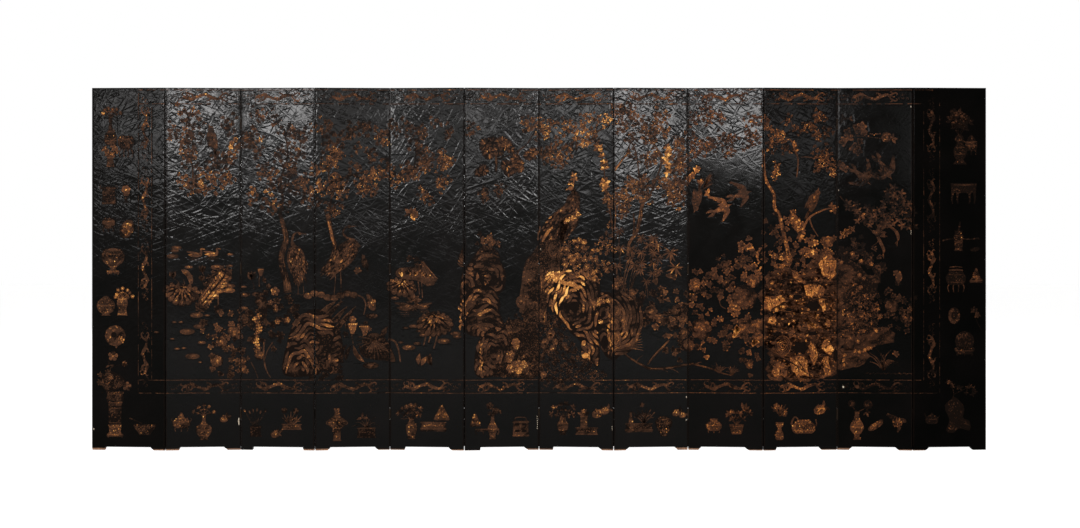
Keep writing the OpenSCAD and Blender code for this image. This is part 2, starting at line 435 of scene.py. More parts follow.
def stretches(line, good, shortest, longest):
    """Parts of a line over its good points, cut at random lengths with a point left out between them."""
    found, part, room = [], [], between(shortest, longest)
    for a, b, fine in zip(line, np.roll(line, -1), np.append(good[:-1], False)):
        if fine and room > 0:
            part.append(a)
            room -= abs(b - a)
        else:
            if len(part) > 2:
                found.append(np.array(part))
            part, room = [], between(shortest, longest)
    return found


def ragged(points, spacing=17, jitter=5.5):
    """An outline with broken edges."""
    result = []
    for a, b in zip(points, np.roll(points, -1)):
        count = max(int(abs(b - a) / spacing), 1)
        result += [a + (b - a) * k / count + complex(*between(-jitter, jitter, 2)) for k in range(count)]
    return np.array(result)


def shards(points, gilt, lean, width=27):
    """A face of rock broken into gold shards, side by side along a lean, with dark cracks and stains."""
    points = ragged(points)
    face = put(points, 0, 1, -lean)
    paint(points, 0.02, 0.38)
    low = face.real.min()
    while low < face.real.max():
        high = low + width * between(0.6, 1.5)
        shard = clip(face, low + 0.9, high - 0.9)
        if shard is not None:
            paint(put(shard, 0, 1, lean), vary(gilt, 0.07), 0.46)
        low = high
    middle = np.mean(points)
    for k in range(0, len(points), 2):
        spot = middle * 0.4 + points[k] * 0.6
        way = ray(90 + lean + between(-70, 70))
        if k % 3:
            dab(spot, between(12, 26), heading(way), vary(0.24, 0.14), 0.54, 0.4, 0.1, 3)
        else:
            stroke([spot, spot + 16 * way, spot + 34 * way + complex(*between(-8, 8, 2))],
                   [2, 5, 2], -0.9, 0.56)


def plane(points, gilt, lift):
    """A flat face of rock: a broken outline, a lit upper edge, and cracks that run across it."""
    points = ragged(points, 22, 5)
    inlay(points, gilt, lift, 3)
    wide, tall = np.ptp(points.real), np.ptp(points.imag)
    for k in range(int(tall / 38)):
        start = complex(points.real.min() + wide * between(0.1, 0.5),
                        points.imag.min() + 38 * (k + between(0.3, 0.7)))
        line = [start, start + wide * between(0.1, 0.2) + 5j,
                start + wide * between(0.25, 0.45) + between(-9, 9) * 1j]
        if inside(np.array(line), points).all():
            stroke(line, [1.5, 4.5, 1.5], -0.9, lift + 0.1)
            stroke([spot - 5j for spot in line[:2]], [1.5, 4, 1.5], gilt + between(0.1, 0.3), lift + 0.12)


def faces_sun(facing, sun):
    """How much a side of a rock faces the light, from 0 up to the length of sun."""
    return max((facing * np.conj(sun)).real / (abs(facing) + 1), 0)


def rock(outline, whorls, gilt, step=15, body=-0.25, lift=0.12, thick=0.76, gold=0.22, sun=0.0):
    """A pierced garden rock: brown bands with black lines between them, that swirl about its hollows.
    A whorl is [middle, stretch along x, stretch along z, radius of the dark hollow]. The bands have
    more gold, by the length of sun, on the side that it points to."""
    edge = spline(outline, 6, closed=True)
    inlay(edge, body, lift - 0.04, 4)
    centres = np.array([w[0] for w in whorls])
    stretch = np.array([[w[1], w[2]] for w in whorls])
    seed = int(abs(edge[0].real)) + 7
    longest = 170 if abs(sun) > 0.3 else 460    # a strongly lit rock has short bands
    for index, (middle, sx, sz, hollow) in enumerate(whorls):
        shade = 0.08 if hollow > 20 else 0.0
        if hollow:
            hole = middle + hollow * (sx * OVAL.real + 1j * sz * OVAL.imag)
            paint(hole, -1, lift + 0.08)
        for ring in range(int(np.abs(edge - middle).max() / min(sx, sz) / step)):
            radius = hollow + step * (ring + 0.5)
            turn = np.linspace(0, 2 * math.pi, max(20, int(radius * 0.6)), endpoint=False) + between(0, 6.3)
            wave = 1 + 0.2 * noise(2.1 * np.cos(turn) + index * 9, 2.1 * np.sin(turn) + ring * 0.16, seed)
            line = middle + radius * wave * (sx * np.cos(turn) + 1j * sz * np.sin(turn))
            near = np.abs((line[:, None] - centres).real / stretch[:, 0]
                          + 1j * (line[:, None] - centres).imag / stretch[:, 1])
            good = inside(line, edge) & (near.argmin(1) == index)
            wide = step * thick
            lit = min(0.3 + 0.2 * ring, 1)
            for run in stretches(line, good, 90, longest):
                own = vary(gilt - 0.04 - shade * max(3 - ring, 0), 0.09)
                own = own + 0.7 * lit * faces_sun(run[len(run) // 2] - middle, sun)
                paint(ribbon(spline(run, 2), [wide * w for w in (0.3, 0.9, 1, 1, 0.9, 0.3)]),
                      own, lift + 0.1)
                for start in range(0, len(run) - 5, 5):
                    glow = lit * faces_sun(run[start + 2] - middle, sun)
                    if rng.random() < gold + 1.2 * glow:
                        part = run[start:start + int(rng.integers(4, 8))]
                        paint(ribbon(part, [1, 0.9 * wide, 0.8 * wide, 1]),
                              own + 0.4 * glow + between(0.1, 0.4), lift + 0.16)


# ---------------------------------------------------------------- plants
def lotus_leaf(at, width, height, gilt, turn=0, ribs=15):
    """A lotus leaf that hangs like an umbrella: gilt ribs from its crown, then a ring of brown scallops."""
    angle = np.linspace(0, 2 * math.pi, 6 * ribs, endpoint=False)
    scallop = 1 + 0.1 * np.abs(np.sin(angle * ribs / 2)) + 0.06 * np.sin(3 * angle + at.real)
    rim = (0.5 * width * np.cos(angle) + 1j * height * np.where(np.sin(angle) > 0, 0.42, 0.62)
           * np.sin(angle)) * scallop
    inlay(put(rim, at, 1, turn), -0.1, 0.12, 3)
    crown = 0.3j * height
    for k in range(ribs):
        way = (rim[6 * k + 3] - crown) * ray(turn)
        lean = heading(way)
        chord = abs(rim[6 * k] - rim[(6 * k + 6) % len(rim)])
        root = at + crown * ray(turn)
        inlay(put(fan(0.95 * chord / abs(way) / 0.5, 5), root + 0.5 * way, 0.5 * abs(way), lean),
              vary(gilt - 0.2, 0.08), 0.2, 1.3)
        for start in (0.05, 0.2, 0.36, 0.52, 0.66):
            if rng.random() < 0.85 - 0.6 * start:
                spot = root + way * (start + between(0, 0.08))
                shape = put(blade(0.42), spot, abs(way) * between(0.16, 0.24), lean + between(-12, 12))
                inlay(shape, vary(gilt + 0.14 - 0.3 * start, 0.14), 0.28, 1)


def lotus_bud(at, stem_to, size, gilt):
    """A lotus bud on its stem."""
    stroke([at, (at + stem_to) / 2 + 6, stem_to], [3, 5], gilt * 0.7)
    bud(at, size, 90, gilt)


def lotus_pod(at, stem_to, size, gilt):
    """The seed head of a lotus on its stem."""
    stroke([at, (at + stem_to) / 2 - 5, stem_to], [4, 5], gilt * 0.7)
    inlay(put([-0.5+0.5j, -0.42+0.6j, 0.42+0.6j, 0.5+0.5j, 0.16-0.5j, -0.16-0.5j], at, size), gilt, 0.2)
    for k in range(4):
        paint(put(ROUND, at + size * (0.2 * k - 0.3 + 0.48j), size * 0.07), gilt + 0.4, 0.32)


def pad(at, width, gilt):
    """A leaf or a flower lying on the water."""
    shape = OVAL.real * width / 2 + 1j * OVAL.imag * width * 0.2
    inlay(at + shape, gilt, 0.14, 2)
    paint(at + shape * 0.45 + 1j * width * 0.04, gilt + 0.25, 0.26)


def bamboo(at, tips, gilt=0.38):
    """Canes from one root, each with a star of narrow hanging leaves at its tip."""
    for tip in tips:
        line = spline(bent(at, tip, -8), 7)
        paint(ribbon(line, [4.5, 3]), vary(gilt - 0.1, 0.06))
        star(tip, between(42, 56), gilt)


def star(at, size, gilt):
    """Nine narrow leaves from one point, the longest hanging."""
    for k in range(9):
        lean = -90 + 33 * (k - 4) + between(-8, 8)
        length = size * (1 - 0.09 * abs(k - 4)) * between(0.85, 1.1)
        inlay(put(blade(0.17, between(-0.08, 0.08)), at, length, lean), vary(gilt, 0.1), 0.2, 1.2)


def pine_fan(at, size, gilt, needles=15):
    """A round pad of pine needles."""
    paint(put(OVAL, at, size * 0.5), -1, 0.12)
    for ring, count in ((0.5, needles), (0.3, needles - 5)):
        for k in range(count):
            turn = 360 * (k + ring) / count
            dab(at + 0.1 * size * ray(turn), size * ring * 0.85, turn, vary(gilt, 0.22),
                0.18 + 0.08 * (ring < 0.4), 0.3, 0, 3)


def grass(at, size, gilt, count=9, spread=130):
    """A tuft of curved blades."""
    for k in range(count):
        lean = 90 + (k / (count - 1) - 0.5) * spread
        tip = at + size * between(0.6, 1) * ray(lean)
        mid = at + (tip - at) * 0.6 + 1j * size * 0.12
        stroke([at, mid, tip], [4, 4.5, 1], vary(gilt, 0.1))


def bush(centres, size, gilt, flowers=0.35, leaves=4):
    """Peonies or other round flowers among large lobed leaves, with black between them."""
    for at in centres:
        for k in range(leaves - 1):
            turn = between(0, 360)
            spot = at + size * between(0.25, 0.6) * ray(turn)
            leaf(spot, size * between(0.4, 0.58), turn + between(-50, 50), vary(gilt - 0.06, 0.1),
                 0.1 + 0.05 * k, int(rng.integers(3, 6)))
    for at in centres:
        if rng.random() < flowers:
            peony(at, size * between(0.8, 1.05), gilt + 0.02, 0.28)


def scattered(outline, spacing):
    """Points strewn evenly inside an outline."""
    edge = spline(outline, 5, closed=True)
    xs = np.arange(edge.real.min(), edge.real.max(), spacing)
    zs = np.arange(edge.imag.min(), edge.imag.max(), spacing * 0.87)
    aside = (np.arange(len(zs)) % 2)[:, None] * spacing / 2
    grid = (xs[None, :] + aside + 1j * zs[:, None]).ravel()
    grid = grid + spacing * (between(-0.3, 0.3, len(grid)) + 1j * between(-0.3, 0.3, len(grid)))
    return grid[inside(grid, edge)]


# ---------------------------------------------------------------- birds
def feathers(outline, size, turn, gilt, lift, width=0.5):
    """Short feathers over a body, all lying one way."""
    for at in scattered(outline, size * 0.62):
        dab(at, size, turn + between(-14, 14), vary(gilt, 0.2), lift, width, 0.06, 3)


def crane(body, length, width, lean, neck, legs, gilt=0.16):
    """A standing crane: its body leans from the tail up to the neck."""
    rear = put([-0.34], body, length, lean)[0]
    for foot in legs:
        hip = put([-0.18], body, length, lean)[0] * 0.4 + 0.6 * complex(foot.real, body.imag - length * 0.3)
        stroke(bent(hip, foot, 3), [7, 4, 4], gilt, 0.06)
        for k in (-1, 0, 1):
            stroke([foot, foot + 9 * k - 3j, foot + 17 * k - 8j], [3, 3, 1.5], gilt, 0.06)
    shape = [0.5, 0.42+0.3j, 0.1+0.5j, -0.3+0.42j, -0.62+0.12j, -0.5-0.3j, -0.1-0.5j, 0.3-0.4j]
    shape = np.array([complex(p.real * length, p.imag * width) for p in shape])
    outline = put(shape, body, 1, lean)
    for k in range(7):
        plume = put(blade(0.16, 0.06 * (k - 3)), rear, length * between(0.36, 0.5), lean + 180 + 8 * (k - 3))
        inlay(plume, vary(gilt, 0.08), 0.1, 1.5)
    inlay(spline(outline, 4, True), gilt + 0.02, 0.12)
    feathers(outline * 0.92 + body * 0.08, length * 0.085, lean + 180, gilt + 0.08, 0.26)
    wing = put(0.68 * shape - 0.04 * length, body, 1, lean)
    feathers(wing, length * 0.13, lean + 192, gilt + 0.12, 0.34, 0.34)
    line = spline(neck, 7)
    paint(ribbon(line, [width * 0.34, 13, 11, 10, 9]), gilt + 0.02, 0.3)
    for k in range(1, len(line) - 1, 2):
        way = heading(line[k - 1] - line[k + 1])
        dab(line[k], 9, way + (16 if k % 4 == 1 else -16), vary(gilt + 0.12, 0.1), 0.38, 0.5, 0, 3)


def crane_head(at, turn, gilt=0.34, size=22):
    """Head, beak and eye of a crane."""
    frond(at - size * 0.5 * ray(turn), size * 1.2, turn, gilt, 0.36, 1.5, 0.62)
    paint(put([0.4+0.13j, 2.1-0.04j, 0.4-0.16j], at, size, turn), gilt + 0.1, 0.34)
    paint(put(ROUND, at + 1, size * 0.09), -1, 0.5)


def perched(at, size, turn, gilt, flip=1, tail=1.0):
    """A song bird on a branch, its beak along turn."""
    spot = mirrored(at, size, turn, flip)
    for k in range(4):
        inlay(spot(put(blade(0.11, 0.04), -0.28-0.02j, 0.56 * tail, 184 + 4 * k)),
              vary(gilt - 0.06, 0.06), 0.1, 1.2)
    inlay(spot(spline([0.36+0.04j, 0.26+0.17j, 0.06+0.19j, -0.2+0.14j, -0.4+0.02j, -0.14-0.17j, 0.16-0.16j],
                      3, True)), gilt - 0.02, 0.16, 2)
    inlay(spot(put(ROUND, 0.36+0.1j, 0.11)), gilt + 0.04, 0.22, 1.2)
    paint(spot([0.45+0.13j, 0.58+0.1j, 0.45+0.06j]), gilt + 0.15, 0.24)
    paint(spot(put(ROUND, 0.39+0.12j, 0.02)), -1, 0.36)
    for k in range(6):
        inlay(spot(put(blade(0.2, 0.1, 3), 0.1 - 0.025j * k + 0.08j, 0.32 + 0.03 * k, 174 + 6 * k)),
              vary(gilt, 0.06), 0.26 + 0.02 * k, 1.1)
    for k in range(14):
        paint(spot(put(blade(0.5, 0, 3), 0.24 - 0.035 * k + 1j * between(-0.12, 0.08), 0.05, 190)),
              vary(gilt + 0.12, 0.1), 0.4)


def flying(at, size, turn, gilt, flip=1, spread=62, forked=True):
    """A swallow on the wing, its beak along turn: two long curved wings and a forked tail."""
    spot = mirrored(at, size, turn, flip)
    for side, reach in ((1, 0.6), (-1, 0.46)):
        tip = 0.1 + reach * ray(side * (180 - spread))
        elbow = 0.16 + 0.34j * side * reach
        front = spline([0.12, elbow, tip], 5)
        inlay(spot(ribbon(front, [0.16, 0.2, 0.05])), gilt, 0.14, 1.3)
        for k in range(5):
            root = front[2 * k + 1]
            lean = side * (172 - 5 * k)
            inlay(spot(put(blade(0.3, 0.05 * side, 3), root, reach * (0.42 - 0.04 * k), lean)),
                  vary(gilt - 0.05, 0.06), 0.12 + 0.01 * k, 1.1)
    for k in (-1, 1) if forked else (0,):
        inlay(spot(put(blade(0.3, 0.1 * k), -0.18, 0.34, 180 + 12 * k)), gilt - 0.06, 0.12, 1.2)
    inlay(spot(spline([0.34, 0.22+0.08j, 0.0+0.1j, -0.3, 0.0-0.09j, 0.22-0.08j], 3, True)), gilt, 0.3, 1.4)
    paint(spot([0.31+0.02j, 0.42, 0.31-0.02j]), gilt + 0.15, 0.4)
    for k in range(6):
        paint(spot(put(blade(0.5, 0, 3), 0.2 - 0.07 * k, 0.05, 180)), vary(gilt + 0.1, 0.1), 0.44)


def duck(at, size, gilt, flip=1):
    """A duck on the water, facing right, or left when flipped."""
    def spot(points):
        points = np.asarray(points, complex)
        return at + size * (flip * points.real + 1j * points.imag)

    inlay(spot(spline([-0.56+0.16j, -0.3+0.02j, -0.34-0.12j, 0.0-0.17j, 0.3-0.12j, 0.36+0.04j, 0.1+0.1j,
                       -0.2+0.16j], 3, True)), gilt - 0.05, 0.14, 2)
    inlay(spot(ribbon(spline([0.26+0.0j, 0.32+0.14j, 0.27+0.26j, 0.36+0.33j], 4), [0.16, 0.11, 0.1, 0.12])),
          gilt, 0.22, 1.5)
    paint(spot([0.38+0.36j, 0.54+0.29j, 0.38+0.27j]), gilt + 0.2, 0.34)
    for k in range(7):
        paint(spot(put(blade(0.3, 0.1, 3), 0.2 - 0.07 * k + 0.02j, 0.26, 168 + 4 * k)),
              vary(gilt + 0.14, 0.18), 0.28 + 0.02 * k)
    for k in range(3):
        stroke(spot([-0.5 + 0.1 * k - 0.24j - 0.07j * k, 0.0-0.22j - 0.07j * k,
                     0.5 - 0.08 * k - 0.25j - 0.07j * k]), [1, 2.5, 1], 0.12, 0.05)


# ---------------------------------------------------------------- vessels and antiques
def vessel(at, profile, gilt=0.3, bands=(), dabs=0.5, lift=0.14):
    """A pot that stands at a point: heights and half widths of its outline, and heights of its bands."""
    heights, halves = zip(*profile)
    side = spline([half + 1j * height for height, half in profile], 4)
    side = np.maximum(side.real, 1.5) + 1j * np.clip(side.imag, heights[0], heights[-1])
    inlay(at + np.concatenate([side, -np.conj(side[::-1])]), gilt, lift, 2)
    for height in bands:
        half = np.interp(height, heights, halves) * 0.92
        stroke(at + 1j * height + np.array([-half, -3j, half]), [3, 4, 3], gilt + 0.3, lift + 0.16, 3)
    for height in np.arange(heights[0] + 9, heights[-1] - 4, 11):
        half = np.interp(height, heights, halves) - 7
        for x in np.arange(-half, half + 1, 12):
            if rng.random() < dabs:
                spot = at + x + between(-3, 3) + 1j * (height + between(-2, 2))
                dab(spot, between(7, 12), between(0, 180), vary(gilt + 0.22, 0.2), lift + 0.14, 0.55, 0, 3)


def feet(at, spread, height, gilt=0.3, count=3):
    """Curved legs under a pot or a table."""
    for k in np.linspace(-1, 1, count):
        start = at + spread * k * 0.8
        stroke([start, at + spread * (k * 1.12) - 0.5j * height, at + spread * k * 0.96 - 1j * height],
               [8, 6, 4], gilt)


def handles(middle, points, widths, gilt):
    """The same stroke on both sides of a middle."""
    for side in (-1, 1):
        stroke([middle + side * point.real + 1j * point.imag for point in points], widths, gilt)


def low_table(at, width, height, gilt=0.3):
    """A stand with an apron and scrolled feet; the point is the middle of its top."""
    half = width / 2
    inlay(at + np.array([-half, -half - 7j, half - 7j, half]), gilt + 0.12, 0.16, 1.5)
    inlay(at + np.array([-half + 6 - 9j, half - 6 - 9j, half - 14 - 17j, 10-15j, -14j, -10-15j,
                         -half + 14 - 17j]), gilt, 0.14, 1.5)
    for side in (-1, 1):
        stroke(at + np.array([side * (half - 6) - 9j, side * (half - 1) - 0.5j * height,
                              side * (half - 9) - 1j * height]), [7, 6, 7], gilt, 0.15)
        stroke(at + np.array([side * half * 0.3 - 9j, side * half * 0.34 - 0.55j * height,
                              side * half * 0.3 - 1j * height]), [5, 4, 5], gilt - 0.05, 0.12)


def posy(at, size, gilt=0.35, stems=5, spread=110, flowers=0.6):
    """Flowers that spread from the mouth of a vase."""
    for k in range(stems):
        lean = 90 + (k / max(stems - 1, 1) - 0.5) * spread + between(-6, 6)
        tip = at + size * between(0.6, 1) * ray(lean)
        stroke(bent(at, tip, between(-4, 4)), [3.5, 3, 2], gilt - 0.05, 0.08)
        sprig(at * 0.45 + tip * 0.55, size * 0.22, lean, gilt - 0.04, 3, 150)
        if rng.random() < flowers:
            blossom(tip, size * 0.34, vary(gilt + 0.18, 0.12))
        else:
            sprig(tip, size * 0.26, lean, gilt + 0.05, 4, 170)


def coral(at, size, gilt=0.42, count=5):
    """Branching coral."""
    for k in range(count):
        lean = 90 + (k / max(count - 1, 1) - 0.5) * 90
        tip = at + size * between(0.75, 1) * ray(lean)
        mid = at * 0.5 + tip * 0.5 + between(-6, 6)
        stroke([at, mid, tip], [9, 7, 4], vary(gilt, 0.12), 0.16)
        for side in (-1, 1):
            stroke([mid, mid + size * 0.24 * ray(lean + 42 * side)], [6, 3], vary(gilt, 0.14), 0.17, 2)


def fruit(at, size, gilt=0.4, leaves=3):
    """A peach or a pomegranate with its leaves."""
    sprig(at + size * (0.3+0.2j), size * 0.5, 30, gilt - 0.1, leaves, 120)
    inlay(put(spline([0.5, 0.3+0.36j, -0.1+0.4j, -0.46+0.2j, -0.46-0.2j, -0.1-0.36j, 0.3-0.3j], 3, True), at,
              size * 0.8, 10), gilt, 0.2, 2)
    feathers(put(OVAL, at, size * 0.3), size * 0.2, 60, gilt + 0.2, 0.32)


def casket(at, width, height, gilt=0.3, windows=0):
    """A small box or a cabinet, standing at a point, with dark windows in rows of two."""
    half = width / 2
    inlay(at + np.array([-half, half, half * 0.94 + 1j * height, -half * 0.94 + 1j * height]), gilt, 0.14, 2)
    for h in (0.08, 0.92):
        stroke(at + 1j * h * height + np.array([-half * 1.06, 0, half * 1.06]), [5, 5, 5],
               gilt + 0.12, 0.26, 2)
    for k in range(windows):
        spot = at + half * (-0.45 + 0.9 * (k % 2)) + 1j * height * (0.28 + 0.42 * (k // 2))
        paint(spot + np.array([-1, 1, 1+1.1j, -1+1.1j]) * width * 0.14, -1, 0.24)
    if not windows:
        for x in np.linspace(-0.7, 0.7, max(int(width / 16), 2)):
            dab(at + x * half + 1j * height * 0.5 - 5, 11, between(-60, 60), vary(gilt + 0.25),
                0.28, 0.6, 0, 3)


def stone_chime(at, width, height, gilt=0.3):
    """A hanging plate, three cornered, with cut edges and a pattern of scales."""
    shape = np.array([-0.5+0.06j, -0.4+0j, 0.4+0j, 0.5+0.06j, 0.3+0.5j, 0.1+0.94j, 1j,
                      -0.1+0.94j, -0.3+0.5j])
    outline = at + shape.real * width + 1j * shape.imag * height
    inlay(outline, gilt, 0.14, 2)
    feathers(outline * 0.8 + (at + 0.4j * height) * 0.2, 13, 90, gilt + 0.14, 0.26, 0.8)


def brushes(at, height, gilt=0.4, count=6):
    """Writing brushes that stand in a pot."""
    for k in range(count):
        lean = 90 + (k / (count - 1) - 0.5) * 58
        tip = at + height * between(0.8, 1) * ray(lean)
        stroke([at, tip], [4, 3], gilt - 0.1, 0.08, 2)
        frond(tip, height * 0.2, lean, vary(gilt + 0.1), 0.2, 1.2, 0.42)


def ring_dish(at, size, gilt=0.3):
    """A round dish with a dark middle and two rings of petals."""
    inlay(put(OVAL, at, size / 2), gilt, 0.14, 2)
    paint(put(OVAL, at - size * 0.06 + size * 0.04j, size * 0.14), -1, 0.3)
    for k in range(16):
        radius = size * (0.24 + 0.16 * (k % 2))
        spot = at + radius * ray(22.5 * k)
        dab(spot, size * 0.17, 22.5 * k + 70, vary(gilt + 0.2, 0.22), 0.26, 0.4, 0.2, 3)


# ---------------------------------------------------------------- borders
def scroll(at, size, turn, flip=1, gilt=0.3, width=4.5):
    """A C-scroll that ends in a curl."""
    t = np.linspace(0, 1, 16)
    curl = (0.15 + 0.85 * t) * np.exp(1j * flip * (1.1 + 4.6 * t))
    paint(ribbon(put(curl, at, size / 2, turn), [width * 0.5, width, width * 0.6]), gilt, 0.12)


def chilong(at, length, turn=0, gilt=0.3, flip=1):
    """A crawling hornless dragon with a forked, curling tail, between two pairs of faint scrolls."""
    spot = mirrored(at, length, turn, flip)
    spine = spot([-0.25-0.012j, -0.17-0.03j, -0.08+0.008j, 0.02+0.032j, 0.1-0.008j, 0.19-0.026j,
                  0.25-0.008j])
    line = spline(spine)
    paint(ribbon(line, [12, 20, 15, 18, 20, 13, 8]), vary(gilt - 0.08, 0.05), 0.14)
    for k in range(1, len(line) - 2, 2):
        way = heading(line[k + 1] - line[k])
        bright = gilt + 0.3 * math.exp(-(k / len(line) - 0.45) ** 2 / 0.02)
        dab(line[k] + between(-6, 6) * 1j, 12, way + between(-50, 50), vary(bright), 0.24, 0.6, 0.1, 3)
    # head: brow, jaw, nose and a mane of curls
    inlay(spot([-0.29+0.005j, -0.27+0.02j, -0.235+0.012j, -0.22-0.02j, -0.25-0.03j, -0.28-0.015j]),
          gilt + 0.1, 0.18, 1.5)
    for points in ([-0.28+0.01j, -0.3+0.04j, -0.285+0.065j],
                   [-0.24+0.01j, -0.23+0.045j, -0.25+0.07j, -0.27+0.06j],
                   [-0.29-0.01j, -0.315-0.03j, -0.3-0.05j], [-0.21-0.01j, -0.2+0.03j, -0.18+0.045j]):
        stroke(spot(points), [8, 6, 2], vary(gilt - 0.06, 0.08), 0.14)
    # legs with three claws
    for foot, way in ((-0.15, 1), (-0.12, -1), (0.06, 1), (0.1, -1)):
        knee = foot - 0.02 + 0.035j * way
        stroke(spot([foot - 0.01j * way, knee, foot - 0.045 + 0.05j * way]), [14, 10, 6],
               vary(gilt - 0.04, 0.08), 0.16)
        for lean in (-1, 0, 1):
            stroke(spot([foot - 0.045 + 0.05j * way, foot - 0.07 + (0.05 + 0.016 * lean) * 1j * way]),
                   [4.5, 2], gilt - 0.04, 0.15, 2)
    # tail: two branches that curl apart, with side curls
    for way in (1, -1):
        stroke(spot([0.2-0.02j, 0.24 + 0.03j * way, 0.29 + 0.055j * way, 0.32 + 0.04j * way,
                     0.305 + 0.02j * way]), [10, 10, 8, 6, 3], vary(gilt - 0.02, 0.08), 0.15)
        stroke(spot([0.25 + 0.035j * way, 0.245 + 0.065j * way, 0.22 + 0.07j * way]), [8, 6, 2],
               vary(gilt - 0.08, 0.08), 0.14)
    stroke(spot([0.23-0.015j, 0.27+0.0j, 0.29-0.008j]), [8, 6, 3], gilt - 0.1, 0.14)
    for end in (-1, 1):
        for k, (far, rise) in enumerate([(0.35, 0.026), (0.375, -0.028), (0.4, 0.01),
                                         (0.43, -0.024), (0.45, 0.026)]):
            scroll(spot([end * far + 1j * rise * end])[0], 20 - 2 * (k % 2), turn + 180 * (end < 0) + 70 * k,
                   1 if k % 2 else -1, gilt - 0.16, 3.2)


# ---------------------------------------------------------------- the pictures, leaf by leaf
def borders():
    """Double lines round the garden scene, with dragons between them."""
    for first, last, height in ((286, 4904, 415), (280, 5000, 338), (286, 4904, 2045), (280, 5000, 2127)):
        marks = np.arange(first, last, 26)
        for a, b in zip(marks[:-1], marks[1:]):
            if rng.random() < (0.96 if height < 1000 else 0.75):
                stroke([a + 1j * height, b + 1j * (height + rng.normal(0, 0.6))], [3.6, 3.6],
                       vary(0.34, 0.08), 0.08, 2)
    for across, low, high in ((280, 338, 2127), (360, 415, 2045), (4904, 415, 2045), (5000, 338, 2127)):
        marks = np.arange(low, high, 26)
        for a, b in zip(marks[:-1], marks[1:]):
            if rng.random() < 0.85:
                stroke([across + 1j * a, across + rng.normal(0, 0.5) + 1j * b], [3.4, 3.4],
                       vary(0.3, 0.08), 0.08, 2)
    for number in range(2, LEAVES):
        middle = (number - 0.5) * LEAF_STEP
        chilong(middle + between(-8, 8) + 2086j, 432, 0, vary(0.36, 0.05), -1 if number % 2 else 1)
        chilong(middle + between(-8, 8) + 376j, 436, 0, vary(0.42 if number == 10 else 0.3, 0.03),
                1 if number % 2 else -1)
    for across, turn in ((320, 90), (4952, -90)):
        for height in (1900, 1470, 1070, 560):
            chilong(across + 1j * (height + between(-12, 12)), 400, turn, vary(0.42, 0.05),
                    1 if turn > 0 else -1)


def clumps(spots, size, gilt, leaves=3, lobes=5):
    """Pairs of leaf clumps where the list says; a pair of (place, gilt) has that much more gold."""
    for item in spots:
        at, own = item if isinstance(item, tuple) else (item, 0)
        aside = 0.32 * size * np.exp(1j * between(0, 6.3))
        for middle in (at - aside, at + aside):
            cluster(middle, size * between(0.58, 0.82), gilt + 0.6 * own, leaves, lobes)


